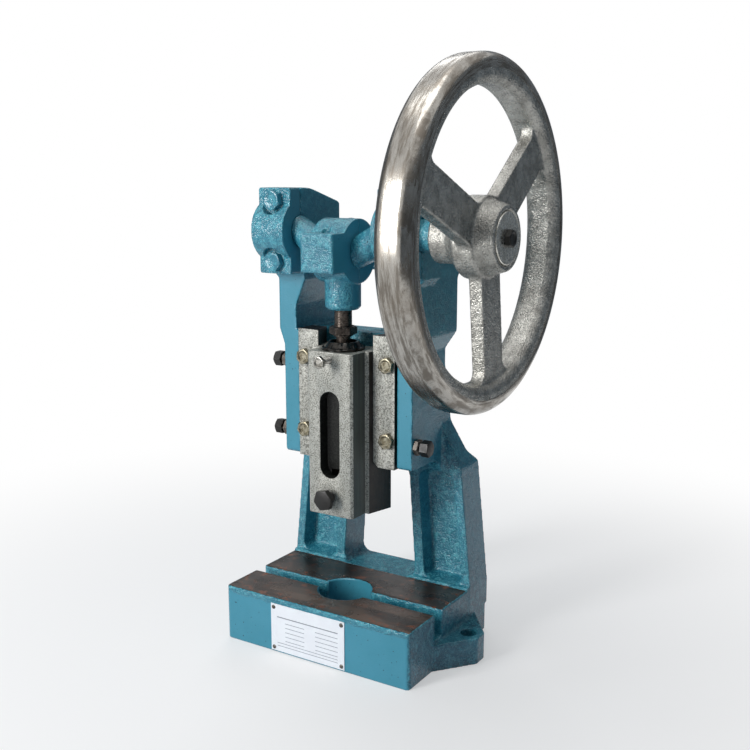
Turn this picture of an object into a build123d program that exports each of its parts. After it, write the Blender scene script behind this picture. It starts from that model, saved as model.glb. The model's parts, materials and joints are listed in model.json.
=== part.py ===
"""Hand wheel bench punch press, all sizes in millimetres.

The die hole's axis is X = Y = 0 and the bench is Z = 0. The machine faces -Y and its hand wheel is on +X.
Turning the wheel turns a one-piece crankshaft; a rod and an adjustable ball screw pull a dovetailed slide
up and down between two gibs. It is drawn with the crank pin at its lowest point, where the slide ends its stroke.
"""
import os
from math import radians, tan

from build123d import *

os.makedirs("parts", exist_ok=True)

LOW = (Align.CENTER, Align.CENTER, Align.MIN)
SIDES = (-1, 1)

# Base casting
table_width = 200
table_front = 52
table_rear = 56
table_height = 52.4
base_corner = 4
die_hole_radius = 25
groove_width = 13.4
groove_depth = 25

# Bolt-down lugs on both sides of the base
lug_height = 25
lug_reach = 27
lug_root = 84
lug_tip = 14
lug_centre = 31
lug_corner = 5
foot_bolt_radius = 7
foot_bolt_edge = 14

# Legs and window
leg_front = 60
leg_rear = 97
leg_foot_width = 200.6
leg_top_width = 177
leg_top = 168
leg_root_radius = 18
window_foot_width = 82.8
window_top_width = 66.4
window_top = 168
window_top_corner = 18
window_foot_corner = 9
lip_height = 2.4
pocket_depth = 15
pocket_top = 164
pocket_bottom = 54.8
pocket_inner_rib = 9.6
pocket_outer_rib = 8.3
pocket_top_corner = 13
pocket_bottom_corner = 8
pocket_taper = 12

# Slide housing
housing_width = 137.6
housing_bottom = 175.5
housing_top = 293
housing_shoulder = 208
housing_flare = 44
housing_rear = 65
recess_half_width = 45
rear_recess_bottom = 186
shoulder_rear = 84
waist_rear = 78
cheek_front = 4
cheek_corner = 4
back_wall = 32
oil_hole_radius = 2
oil_hole_depth = 12
oil_hole_x = 13
oil_hole_y = 44

# Uprights, bearing pedestals and the bridge between them
upright_width = 148
upright_gap = 110
upright_rear = 77
bearing_outer = 80
bearing_length = 35
bearing_height = 76.4
bearing_depth = 33.4
bearing_shelf = 29
pedestal_rear = 62
pedestal_crest = 14
pedestal_drop = 13.8
pedestal_round = 60
pedestal_corner = 4
neck_round = 8
shoulder_round = 12
flare_round = 16
outline_corner = 1
bridge_height = 35
bridge_depth = 25
bridge_corner = 6

# Crankshaft
shaft_rise = 91
crank_throw = 16
journal_radius = 13.7
running_clearance = 0.05
arm_root_radius = 15
arm_radius = 15.5
arm_reach = 17
arm_offset = 7.5
arm_collar = 0.5
side_gap = 0.3
shaft_end = 1
wheel_seat_radius = 12
wheel_gap = 17

# Bearing caps and their bolts
cap_bulge_radius = 28
cap_ear = 15.6
cap_bolt_offset = 27.2
spot_face_radius = 12.5
cap_edge = 2
cap_bolt_radius = 5
cap_bolt_depth = 22
cap_hole_clearance = 0.5
cap_head_flats = 16
cap_head_height = 6.4

# Connecting rod
rod_width = 34.4
rod_eye_radius = 28.4
rod_block_front = 41
rod_block_height = 34
rod_boss_radius = 16
rod_boss_drop = 51.5
rod_cap_drop = 28
rod_bolt_offset = 21
rod_bolt_radius = 4
rod_bolt_depth = 9
rod_bolt_seat = 14
rod_spot_radius = 8.5
rod_hole_clearance = 0.3
rod_edge = 2.5
rod_head_flats = 13
rod_head_height = 5.3
oil_cup_radius = 4.5
oil_cup_depth = 9
oil_cup_x = -2.5
oil_cup_y = -23

# Ball screw between rod and slide
rod_length = 108
ball_radius = 13
socket_play = 4
neck_radius = 6.3
neck_length = 32.5
screw_radius = 8
screw_depth = 20
collar_radius = 8.6
collar_height = 1.5
lock_nut_flats = 22
lock_nut_height = 7.5
ball_nut_radius = 18.5
ball_nut_depth = 14
ball_nut_rim_radius = 19.6
ball_nut_rim_height = 2.5
ball_nut_top_radius = 14
ball_nut_height = 7.5
ball_nut_mouth = 12.3

# Slide
slide_front = 23
slide_rear = 25
slide_width = 48
slide_chamfer = 2.3
slide_step = 4
slide_step_rear = 21
slide_bottom = 131.2
slide_cover = 20.5
dovetail_angle = 15
slide_clearance = 0.1
recess_width = 20.7
recess_rise = 34.6
recess_length = 79.5
recess_depth = 12
shank_hole_radius = 12.5
shank_hole_depth = 40
clamp_height = 17
clamp_standoff = 6.8
clamp_radius = 5
clamp_flats = 17
clamp_head_height = 6.5
clamp_play = 0.6
stop_screw_drop = 6.5
stop_screw_radius = 3
stop_screw_standoff = 13
stop_screw_flats = 10
stop_screw_head_height = 4

# Gibs, their bolts and the side screws that set them
gib_front = 2.8
gib_outer = 51.8
gib_rise = 2
gib_drop = 0.7
gib_corner = 5
left_gap = 0.5
right_gap = 1.8
gib_bolt_x = 44.3
gib_bolt_foot_inset = 26.3
gib_bolt_top_inset = 25.5
gib_bolt_radius = 4
gib_bolt_depth = 18
gib_bolt_flats = 13
gib_bolt_head_height = 5.3
gib_hole_clearance = 0.5
side_screw_foot_inset = 21.3
side_screw_top_inset = 30.2
side_screw_y = 12
side_screw_radius = 4
side_screw_flats = 13
side_screw_head_height = 8.5
side_nut_height = 5.5
side_head_gap = 1.2
thread_clearance = 0.05

# Hand wheel
wheel_radius = 131.2
rim_half_width = 15.8
rim_half_height = 12.4
rim_step = 0.6
rim_centre_x = 133.6
spoke_count = 3
spoke_width = 35
spoke_thickness = 11.4
spoke_face_x = 142
spoke_turn = 37
spoke_root = 9
hub_radius = 34
hub_rear_radius = 22.5
hub_rear_length = 16
hub_face_radius = 26.5
hub_face_x = 157.6
hub_back_length = 28
hub_back_gap = 4
hub_round = 4
hub_edge = 1
rim_corner = 10
key_width = 8
key_height = 7
key_length = 40
key_depth = 4
key_start = 6
key_clearance = 0.1
washer_recess = 2
washer_gap = 1.3
washer_radius = 21.5
washer_thickness = 2.6
washer_edge = 0.6
wheel_bolt_radius = 4
wheel_bolt_length = 22
wheel_bolt_flats = 13
wheel_bolt_head_height = 5.3
shaft_end_gap = 1
shaft_edge = 1
thread_end_gap = 2
head_chamfer_angle = 30

# Nameplate
plate_width = 81
plate_height = 45.6
plate_thickness = 0.8
plate_shift = -6.2
plate_bottom = 1.6
rivet_radius = 1.2
rivet_head_radius = 2
rivet_head_height = 0.9
rivet_depth = 6
rivet_inset = 3.2

# Places that several parts share
shaft_height = housing_top + shaft_rise
base_depth = table_front + leg_rear
pin_height = shaft_height - crank_throw
ball_height = pin_height - rod_length
socket_radius = ball_radius + socket_play
slide_top = ball_height + slide_cover
bearing_inner = bearing_outer - bearing_length
bearing_x = (bearing_inner + bearing_outer) / 2
bridge_rear = housing_rear + bridge_depth
bearing_top = shaft_height + bearing_height / 2
bearing_bottom = shaft_height - bearing_height / 2
bore_radius = journal_radius + running_clearance
wall_front = slide_rear + slide_clearance
flank_slope = tan(radians(dovetail_angle))
flank_front_x = slide_width / 2 + slide_step
flank_rear_x = flank_front_x + (slide_rear + slide_front - slide_step_rear) * flank_slope
wheel_seat_x = bearing_outer + wheel_gap
rod_boss_bottom = pin_height - rod_boss_drop
collar_bottom = ball_height + neck_length
lock_nut_bottom = collar_bottom + collar_height
cap_bolt_heights = (shaft_height - cap_bolt_offset, shaft_height + cap_bolt_offset)
rod_bolt_heights = (pin_height - rod_bolt_offset, pin_height + rod_bolt_offset)
foot_bolt_x = table_width / 2 + foot_bolt_edge
channel_width = 2 * gib_outer + left_gap + right_gap
channel_centre = (right_gap - left_gap) / 2
pin_half = rod_width / 2 + side_gap
arm_end = bearing_inner - side_gap
washer_seat_x = hub_face_x - washer_recess
washer_face_x = washer_seat_x + washer_thickness
shaft_end_x = washer_seat_x - shaft_end_gap
shaft_axis = Axis((0, 0, shaft_height), (1, 0, 0))
key_x = wheel_seat_x + key_start + key_length / 2
key_bottom = shaft_height + wheel_seat_radius - key_depth
key_top = key_bottom + key_height
clamp_z = slide_bottom + clamp_height
recess_middle = slide_bottom + recess_rise + recess_length / 2
gib_top = housing_top + gib_rise
gib_bottom = housing_bottom - gib_drop
gib_bolt_heights = (gib_bottom + gib_bolt_foot_inset, gib_top - gib_bolt_top_inset)
side_screw_heights = (housing_bottom + side_screw_foot_inset, housing_top - side_screw_top_inset)
stop_screw_z = slide_top - stop_screw_drop
side_head_x = housing_width / 2 + side_nut_height + side_head_gap
rivet_x = [plate_shift + side * (plate_width / 2 - rivet_inset) for side in SIDES]
rivet_z = [plate_bottom + rivet_inset, plate_bottom + plate_height - rivet_inset]


def leg_half(height):
    """Half of the width over both legs at a height."""
    share = (height - table_height) / (leg_top - table_height)
    return leg_foot_width / 2 + share * (leg_top_width - leg_foot_width) / 2


def window_half(height):
    """Half of the window's width at a height."""
    share = (height - table_height) / (window_top - table_height)
    return window_foot_width / 2 + share * (window_top_width - window_foot_width) / 2


def flank_x(y):
    """Where a gib's inner face lies at a depth, clear of the slide's flank."""
    return flank_front_x + (y + slide_front - slide_step_rear) * flank_slope + slide_clearance


def facing_front(x, y, z):
    """Plane at a point whose normal looks at the operator, towards -Y."""
    return Plane(origin=(x, y, z), x_dir=(1, 0, 0), z_dir=(0, -1, 0))


def facing_side(x, y, z, side):
    """Plane at a point whose normal looks out along X, to the left (-1) or right (1)."""
    return Plane(origin=(x, y, z), x_dir=(0, side, 0), z_dir=(side, 0, 0))


def hexagon(seat, across_flats, height):
    """Hexagonal head or nut standing on a plane, its outer corners turned off."""
    with BuildPart(seat) as prism:
        with BuildSketch(seat):
            RegularPolygon(across_flats / 2, 6, major_radius=False)
        extrude(amount=height)
        Cone(across_flats / 2 + height / tan(radians(head_chamfer_angle)), across_flats / 2, height, align=LOW,
             mode=Mode.INTERSECT)
    return prism.part


def rod_from(seat, radius, length):
    """Round rod that starts at a plane and runs back behind it."""
    with BuildPart(seat) as rod:
        Cylinder(radius, length, align=(Align.CENTER, Align.CENTER, Align.MAX))
    return rod.part


def hex_bolt(seat, across_flats, head_height, radius, length):
    """Hex bolt whose head stands on a plane and whose shank runs back behind it."""
    with BuildPart() as bolt:
        add(hexagon(seat, across_flats, head_height))
        add(rod_from(seat, radius, length))
    return bolt.part


# Frame: base, lugs, legs, slide housing, uprights and pedestals in one iron casting
with BuildPart() as frame:
    with Locations((0, (leg_rear - table_front) / 2, 0)):
        Box(table_width, base_depth, table_height, align=LOW)
    fillet(frame.edges().filter_by(Axis.Z), base_corner)

    # Lugs for the two foot bolts
    with BuildSketch() as lug:
        with BuildLine():
            Polyline(
                (table_width / 2 - lug_corner, lug_centre - lug_root / 2),
                (table_width / 2, lug_centre - lug_root / 2),
                (table_width / 2 + lug_reach, lug_centre - lug_tip / 2),
                (table_width / 2 + lug_reach, lug_centre + lug_tip / 2),
                (table_width / 2, lug_centre + lug_root / 2),
                (table_width / 2 - lug_corner, lug_centre + lug_root / 2),
                close=True,
            )
        make_face()
        fillet(lug.vertices().group_by(Axis.X)[-1], lug_corner)
        mirror(about=Plane.YZ)
    extrude(amount=lug_height)

    # Tower: the front outline and the side outline, crossed
    with BuildPart():
        with BuildSketch(Plane.XZ):
            with BuildLine():
                FilletPolyline(
                    (0, table_height / 2),
                    (leg_foot_width / 2, table_height / 2),
                    (leg_foot_width / 2, table_height),
                    (leg_top_width / 2, leg_top),
                    (housing_width / 2, housing_shoulder),
                    (housing_width / 2, housing_top - bearing_shelf / 2),
                    (upright_width / 2, housing_top),
                    (upright_width / 2, bearing_bottom - bridge_corner),
                    (bearing_outer, bearing_bottom),
                    (bearing_outer, bearing_top),
                    (bearing_inner, bearing_top),
                    (bearing_inner, bearing_bottom - bridge_corner),
                    (upright_gap / 2, bearing_bottom - bearing_shelf),
                    (upright_gap / 2, housing_top),
                    (0, housing_top),
                    radius=[outline_corner, outline_corner, shoulder_round, flare_round, neck_round, neck_round,
                            outline_corner, outline_corner, outline_corner, outline_corner, outline_corner,
                            neck_round, outline_corner],
                )
                mirror(about=Plane.YZ)
            make_face()
        extrude(amount=bridge_rear + table_front, both=True)
        with BuildSketch(Plane.YZ):
            with BuildLine():
                FilletPolyline(
                    (leg_front, table_height / 2),
                    (leg_front, housing_bottom),
                    (cheek_front, housing_bottom),
                    (cheek_front, bearing_bottom),
                    (0, bearing_bottom),
                    (0, bearing_top),
                    (pedestal_crest, bearing_top),
                    (pedestal_rear, bearing_top - pedestal_drop),
                    (pedestal_rear, bearing_bottom + bridge_height),
                    (bridge_rear, bearing_bottom + bridge_height),
                    (bridge_rear, bearing_bottom),
                    (upright_rear, bearing_bottom),
                    (upright_rear, housing_top),
                    (housing_rear, housing_top - bearing_shelf / 2),
                    (housing_rear, housing_top - bearing_shelf),
                    (waist_rear, housing_shoulder),
                    (shoulder_rear, housing_shoulder - bearing_shelf),
                    (leg_rear, leg_top),
                    (leg_rear, table_height / 2),
                    radius=[outline_corner, leg_root_radius, cheek_corner, outline_corner, outline_corner,
                            outline_corner, pedestal_round, pedestal_corner, outline_corner, bridge_corner,
                            bridge_corner, bridge_corner, neck_round, neck_round, neck_round, shoulder_round, shoulder_round,
                            neck_round, outline_corner],
                    close=True,
                )
            make_face()
        extrude(amount=table_width, both=True, mode=Mode.INTERSECT)

    # Behind the bearings the uprights are flush, and the flare from the legs stays behind the cheeks,
    # whose sides are flat for the set screws
    for side in SIDES:
        with Locations((side * upright_width / 2, bearing_depth, bearing_bottom - bridge_corner)):
            Box(table_width, 2 * bridge_rear, bearing_height + bridge_height,
                align=(Align.MIN if side > 0 else Align.MAX, Align.MIN, Align.MIN), mode=Mode.SUBTRACT)
        with Locations((side * (housing_width / 2 + table_width / 2), leg_front, housing_bottom - leg_root_radius)):
            Box(table_width, leg_front - cheek_front, housing_flare + leg_root_radius,
                align=(Align.CENTER, Align.MAX, Align.MIN), mode=Mode.SUBTRACT)

    # Bridge behind the crank, and the cast lip behind the table
    with BuildSketch(Plane.YZ):
        with Locations((housing_rear, bearing_bottom)):
            Rectangle(bridge_depth, bridge_height, align=(Align.MIN, Align.MIN))
        fillet(vertices().group_by(Axis.X)[-1], bridge_corner)
    extrude(amount=upright_width / 2, both=True)
    with Locations((0, leg_front, table_height)):
        Box(table_width, leg_front - table_rear, lip_height, align=(Align.CENTER, Align.MAX, Align.MIN))

    # Window between the legs
    with BuildSketch(Plane.XZ):
        with BuildLine():
            Polyline(
                (-window_foot_width / 2, table_height),
                (window_foot_width / 2, table_height),
                (window_top_width / 2, window_top),
                (-window_top_width / 2, window_top),
                close=True,
            )
        make_face()
        fillet(vertices().group_by(Axis.Y)[0], window_foot_corner)
        fillet(vertices().group_by(Axis.Y)[-1], window_top_corner)
    extrude(amount=-(leg_rear + table_front), mode=Mode.SUBTRACT)

    # Tapered pockets in the fronts of both legs
    for side in SIDES:
        with BuildSketch(Plane.XZ.offset(-leg_front)):
            with BuildLine():
                Polyline(
                    (side * (window_half(pocket_bottom) + pocket_inner_rib), pocket_bottom),
                    (side * (leg_half(pocket_bottom) - pocket_outer_rib), pocket_bottom),
                    (side * (leg_half(pocket_top) - pocket_outer_rib), pocket_top),
                    (side * (window_half(pocket_top) + pocket_inner_rib), pocket_top),
                    close=True,
                )
            make_face()
            fillet(vertices().group_by(Axis.Y)[0], pocket_bottom_corner)
            fillet(vertices().group_by(Axis.Y)[-1], pocket_top_corner)
        extrude(amount=-pocket_depth, taper=pocket_taper, mode=Mode.SUBTRACT)

    # Slide channel between the cheeks, and the recess behind the back wall
    with Locations((channel_centre, wall_front, housing_top)):
        Box(channel_width, table_width, housing_top - table_height, align=(Align.CENTER, Align.MAX, Align.MAX),
            mode=Mode.SUBTRACT)
    with BuildSketch(Plane.XZ.offset(-(wall_front + back_wall))):
        with Locations((0, rear_recess_bottom)):
            Rectangle(2 * recess_half_width, housing_top - rear_recess_bottom, align=(Align.CENTER, Align.MIN))
        fillet(vertices().group_by(Axis.Y)[0], window_foot_corner)
    extrude(amount=-leg_rear, mode=Mode.SUBTRACT)

    # Die hole, clamping groove and foot bolt holes
    with Locations((0, 0, 0)):
        Cylinder(die_hole_radius, table_height, align=LOW, mode=Mode.SUBTRACT)
    with Locations((0, 0, table_height)):
        Box(2 * table_width, groove_width, groove_depth, align=(Align.CENTER, Align.CENTER, Align.MAX),
            mode=Mode.SUBTRACT)
    with Locations((-foot_bolt_x, lug_centre, 0), (foot_bolt_x, lug_centre, 0)):
        Cylinder(foot_bolt_radius, lug_height, align=LOW, mode=Mode.SUBTRACT)

    # Shaft bearings, oil hole and tapped holes
    add(rod_from(facing_side(table_width, 0, shaft_height, 1), bore_radius, 2 * table_width), mode=Mode.SUBTRACT)
    add(rod_from(Plane.XY.offset(housing_top).shift_origin((oil_hole_x, oil_hole_y, housing_top)),
                 oil_hole_radius, oil_hole_depth), mode=Mode.SUBTRACT)
    for side in SIDES:
        for height in cap_bolt_heights:
            add(rod_from(facing_front(side * bearing_x, 0, height), cap_bolt_radius + thread_clearance,
                         cap_bolt_depth + thread_end_gap), mode=Mode.SUBTRACT)
        for height in gib_bolt_heights:
            add(rod_from(facing_front(side * gib_bolt_x, wall_front, height), gib_bolt_radius + thread_clearance,
                         gib_bolt_depth + thread_end_gap), mode=Mode.SUBTRACT)
        for height in side_screw_heights:
            add(rod_from(facing_side(side * housing_width / 2, side_screw_y, height, side),
                         side_screw_radius + thread_clearance, housing_width / 4), mode=Mode.SUBTRACT)
    for x in rivet_x:
        for z in rivet_z:
            add(rod_from(facing_front(x, -table_front, z), rivet_radius + thread_clearance,
                         rivet_depth + thread_end_gap), mode=Mode.SUBTRACT)


# Bearing caps, bolted on from the front
with BuildPart() as cap_blank:
    with BuildSketch(Plane.YZ.offset(bearing_inner)):
        with Locations((0, shaft_height)):
            Rectangle(cap_ear, bearing_height, align=(Align.MAX, Align.CENTER))
            Circle(cap_bulge_radius)
            Rectangle(cap_bulge_radius, bearing_height, align=(Align.MIN, Align.CENTER), mode=Mode.SUBTRACT)
        fillet(vertices().group_by(Axis.X)[1], cap_edge)
    extrude(amount=bearing_length)
    fillet(cap_blank.edges().filter_by(Axis.Y).group_by(Axis.Y)[-1], cap_edge)
    add(rod_from(facing_side(bearing_outer, 0, shaft_height, 1), bore_radius, bearing_length), mode=Mode.SUBTRACT)
    for height in cap_bolt_heights:
        add(rod_from(facing_front(bearing_x, -cap_bulge_radius, height), spot_face_radius,
                     cap_bulge_radius - cap_ear), mode=Mode.SUBTRACT)
        add(rod_from(facing_front(bearing_x, -cap_ear, height), cap_bolt_radius + cap_hole_clearance, cap_ear),
            mode=Mode.SUBTRACT)

with BuildPart() as right_bearing_cap:
    add(cap_blank.part)
with BuildPart() as left_bearing_cap:
    add(mirror(cap_blank.part, about=Plane.YZ, mode=Mode.PRIVATE))


def cap_bolts(side):
    """The two bolts of one bearing cap."""
    with BuildPart() as bolts:
        for height in cap_bolt_heights:
            add(hex_bolt(facing_front(side * bearing_x, -cap_ear, height), cap_head_flats, cap_head_height,
                         cap_bolt_radius, cap_ear + cap_bolt_depth))
    return bolts.part


# Crankshaft: two journals, a pin between two swept arms, and a seat for the wheel
with BuildPart() as crankshaft:
    with BuildSketch(Plane.YZ):
        with Locations((0, pin_height)):
            Circle(journal_radius)
    extrude(amount=pin_half, both=True)
    for side in SIDES:
        with BuildSketch(Plane.YZ.offset(side * pin_half)):
            with Locations((0, pin_height)):
                Circle(arm_root_radius)
        with BuildSketch(Plane.YZ.offset(side * (pin_half + arm_reach))):
            with Locations((0, shaft_height - arm_offset)):
                Circle(arm_radius)
        with BuildSketch(Plane.YZ.offset(side * arm_end)):
            with Locations((0, shaft_height)):
                Circle(journal_radius + arm_collar)
        loft(ruled=True)
    add(rod_from(facing_side(-arm_end, 0, shaft_height, 1), journal_radius, bearing_outer + shaft_end - arm_end))
    add(rod_from(facing_side(wheel_seat_x, 0, shaft_height, 1), journal_radius, wheel_seat_x - arm_end))
    add(rod_from(facing_side(shaft_end_x, 0, shaft_height, 1), wheel_seat_radius, shaft_end_x - wheel_seat_x))
    chamfer(crankshaft.edges().filter_by(GeomType.CIRCLE).group_by(Axis.X)[0], shaft_edge)
    chamfer(crankshaft.edges().filter_by(GeomType.CIRCLE).group_by(Axis.X)[-1], shaft_edge)
    with Locations((key_x, 0, key_bottom)):
        Box(key_length, key_width, key_height, align=LOW, mode=Mode.SUBTRACT)
    add(rod_from(facing_side(washer_seat_x, 0, shaft_height, 1), wheel_bolt_radius + thread_clearance,
                 wheel_bolt_length + thread_end_gap), mode=Mode.SUBTRACT)

with BuildPart() as wheel_key:
    with Locations((key_x, 0, key_bottom)):
        Box(key_length, key_width, key_height, align=LOW)


# Hand wheel: polished band, rough inner rim, three flat spokes and a coned hub
with BuildPart() as handwheel:
    with BuildSketch(Plane.XZ):
        with Locations((rim_centre_x, shaft_height + wheel_radius)):
            RectangleRounded(2 * rim_half_width, 2 * rim_half_height, rim_corner)
            Rectangle(2 * rim_half_width, rim_half_height, align=(Align.CENTER, Align.MAX), mode=Mode.SUBTRACT)
            RectangleRounded(2 * (rim_half_width - rim_step), 2 * (rim_half_height - rim_step), rim_corner)
    revolve(axis=shaft_axis)
    with BuildSketch(Plane.YZ.offset(spoke_face_x)):
        with Locations((0, shaft_height)):
            Circle(wheel_radius)
    extrude(amount=-spoke_thickness)
    with BuildSketch(Plane.YZ.offset(spoke_face_x)):
        with Locations((0, shaft_height)):
            Circle(wheel_radius - rim_half_height + rim_step)
            Circle(hub_radius, mode=Mode.SUBTRACT)
            with PolarLocations(0, spoke_count, start_angle=spoke_turn):
                Rectangle(wheel_radius, spoke_width, align=(Align.MIN, Align.CENTER), mode=Mode.SUBTRACT)
        fillet(vertices(), spoke_root)
    extrude(amount=-spoke_thickness, mode=Mode.SUBTRACT)
    with BuildSketch(Plane.XZ):
        with BuildLine():
            FilletPolyline(
                (wheel_seat_x, shaft_height),
                (wheel_seat_x, shaft_height + hub_rear_radius),
                (wheel_seat_x + hub_rear_length, shaft_height + hub_rear_radius),
                (wheel_seat_x + hub_back_length, shaft_height + hub_radius),
                (spoke_face_x - spoke_thickness + hub_back_gap, shaft_height + hub_radius),
                (hub_face_x, shaft_height + hub_face_radius),
                (hub_face_x, shaft_height),
                radius=[hub_edge, hub_edge, hub_round, hub_round, hub_round, hub_edge, hub_edge],
                close=True,
            )
        make_face()
    revolve(axis=shaft_axis)
    add(rod_from(facing_side(hub_face_x, 0, shaft_height, 1), wheel_seat_radius + running_clearance,
                 hub_face_x - wheel_seat_x), mode=Mode.SUBTRACT)
    add(rod_from(facing_side(hub_face_x, 0, shaft_height, 1), washer_radius + washer_gap, washer_recess),
        mode=Mode.SUBTRACT)
    with Locations((wheel_seat_x, 0, shaft_height)):
        Box(hub_face_x - wheel_seat_x, key_width + 2 * key_clearance, key_top - shaft_height + key_clearance,
            align=(Align.MIN, Align.CENTER, Align.MIN), mode=Mode.SUBTRACT)

with BuildPart() as wheel_washer:
    add(rod_from(facing_side(washer_face_x, 0, shaft_height, 1), washer_radius, washer_thickness))
    chamfer(wheel_washer.edges().group_by(Axis.X)[-1], washer_edge)
    add(rod_from(facing_side(washer_face_x, 0, shaft_height, 1), wheel_bolt_radius + rod_hole_clearance,
                 washer_thickness), mode=Mode.SUBTRACT)

wheel_bolt = hex_bolt(facing_side(washer_face_x, 0, shaft_height, 1), wheel_bolt_flats,
                      wheel_bolt_head_height, wheel_bolt_radius, wheel_bolt_length + washer_thickness)


# Connecting rod: eye and boss are turned and milled as one, then the rear half of the eye is cut off as its cap
with BuildPart() as rod_blank:
    with BuildSketch(Plane.YZ):
        with Locations((0, pin_height)):
            Circle(rod_eye_radius)
    extrude(amount=rod_width / 2, both=True)
    with BuildPart(mode=Mode.ADD) as rod_block:
        with Locations((0, -rod_block_front, pin_height)):
            Box(rod_width, rod_block_front, rod_block_height, align=(Align.CENTER, Align.MIN, Align.CENTER))
        fillet(rod_block.edges().group_by(Axis.Y)[0], rod_edge)
    with Locations((0, 0, rod_boss_bottom)):
        Cylinder(rod_boss_radius, rod_boss_drop, align=LOW)
    chamfer(rod_blank.edges().filter_by(GeomType.CIRCLE).group_by(Axis.Z)[0], rod_edge)
    add(rod_from(facing_side(rod_width, 0, pin_height, 1), bore_radius, 2 * rod_width), mode=Mode.SUBTRACT)
    for height in rod_bolt_heights:
        with Locations(Plane(origin=(0, rod_bolt_seat, height), z_dir=(0, 1, 0))):
            Cylinder(rod_spot_radius, rod_eye_radius, align=LOW, mode=Mode.SUBTRACT)

with BuildPart() as connecting_rod_cap:
    add(rod_blank.part)
    with Locations((0, 0, pin_height - rod_cap_drop)):
        Box(2 * rod_width, 2 * rod_eye_radius, 2 * rod_eye_radius + rod_cap_drop,
            align=(Align.CENTER, Align.MIN, Align.MIN), mode=Mode.INTERSECT)
    for height in rod_bolt_heights:
        add(rod_from(Plane(origin=(0, rod_bolt_seat, height), z_dir=(0, 1, 0)), rod_bolt_radius + rod_hole_clearance,
                     rod_bolt_seat), mode=Mode.SUBTRACT)

with BuildPart() as connecting_rod:
    add(rod_blank.part)
    with Locations((0, 0, pin_height - rod_cap_drop)):
        Box(2 * rod_width, 2 * rod_eye_radius, 2 * rod_eye_radius + rod_cap_drop,
            align=(Align.CENTER, Align.MIN, Align.MIN), mode=Mode.SUBTRACT)
    for height in rod_bolt_heights:
        add(rod_from(Plane(origin=(0, 0, height), z_dir=(0, 1, 0)), rod_bolt_radius + thread_clearance,
                     rod_bolt_depth + thread_end_gap / 2), mode=Mode.SUBTRACT)
    with Locations((oil_cup_x, oil_cup_y, pin_height + rod_block_height / 2)):
        Cylinder(oil_cup_radius, oil_cup_depth * 2, mode=Mode.SUBTRACT)
    add(rod_from(Plane.XY.offset(rod_boss_bottom + screw_depth + thread_end_gap),
                 screw_radius + thread_clearance, screw_depth + 2 * thread_end_gap), mode=Mode.SUBTRACT)

with BuildPart() as rod_cap_bolts:
    for height in rod_bolt_heights:
        add(hex_bolt(Plane(origin=(0, rod_bolt_seat, height), z_dir=(0, 1, 0)), rod_head_flats, rod_head_height,
                     rod_bolt_radius, rod_bolt_seat + rod_bolt_depth))


# Ball screw, its lock nut and the nut that keeps the ball in the slide
with BuildPart() as ball_screw:
    with Locations((0, 0, ball_height)):
        Sphere(ball_radius)
        Cylinder(neck_radius, neck_length, align=LOW)
    with Locations((0, 0, collar_bottom)):
        Cylinder(collar_radius, collar_height, align=LOW)
    with Locations((0, 0, lock_nut_bottom)):
        Cylinder(screw_radius, rod_boss_bottom + screw_depth - lock_nut_bottom, align=LOW)
    chamfer(ball_screw.edges().group_by(Axis.Z)[-1], shaft_edge)

with BuildPart() as ball_screw_lock_nut:
    add(hexagon(Plane.XY.offset(lock_nut_bottom), lock_nut_flats, lock_nut_height))
    with Locations((0, 0, lock_nut_bottom)):
        Cylinder(screw_radius + thread_clearance, lock_nut_height, align=LOW, mode=Mode.SUBTRACT)

with BuildPart() as ball_retaining_nut:
    with Locations((0, 0, slide_top)):
        Cylinder(ball_nut_radius, ball_nut_depth, align=(Align.CENTER, Align.CENTER, Align.MAX))
        Cylinder(ball_nut_rim_radius, ball_nut_rim_height, align=LOW)
    with Locations((0, 0, slide_top + ball_nut_rim_height)):
        Cone(ball_nut_rim_radius, ball_nut_top_radius, ball_nut_height - ball_nut_rim_height, align=LOW)
    with Locations((0, 0, ball_height)):
        Sphere(socket_radius, mode=Mode.SUBTRACT)
        Cylinder(ball_nut_mouth, 2 * neck_length, align=LOW, mode=Mode.SUBTRACT)


# Slide: chamfered block with dovetail flanks, a ball socket on top and a punch bore underneath
with BuildPart() as slide:
    with BuildSketch(Plane.XY.offset(slide_bottom)):
        with BuildLine():
            Polyline(
                (0, -slide_front),
                (slide_width / 2 - slide_chamfer, -slide_front),
                (slide_width / 2, -slide_front + slide_chamfer),
                (slide_width / 2, -slide_front + slide_step_rear),
                (flank_front_x, -slide_front + slide_step_rear),
                (flank_rear_x, slide_rear),
                (0, slide_rear),
            )
            mirror(about=Plane.YZ)
        make_face()
    extrude(amount=slide_top - slide_bottom)
    with BuildSketch(facing_front(0, -slide_front, recess_middle)):
        SlotOverall(recess_length, recess_width, rotation=90)
    extrude(amount=-recess_depth, mode=Mode.SUBTRACT)
    with Locations((0, 0, slide_bottom)):
        Cylinder(shank_hole_radius, shank_hole_depth, align=LOW, mode=Mode.SUBTRACT)
    with Locations((0, 0, ball_height)):
        Sphere(socket_radius, mode=Mode.SUBTRACT)
    with Locations((0, 0, slide_top)):
        Cylinder(ball_nut_radius + thread_clearance, ball_nut_depth, align=(Align.CENTER, Align.CENTER, Align.MAX),
                 mode=Mode.SUBTRACT)
    add(rod_from(facing_front(0, -slide_front, clamp_z), clamp_radius + thread_clearance, slide_front),
        mode=Mode.SUBTRACT)
    add(rod_from(facing_front(0, -slide_front, stop_screw_z), stop_screw_radius + thread_clearance, slide_front),
        mode=Mode.SUBTRACT)

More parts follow.
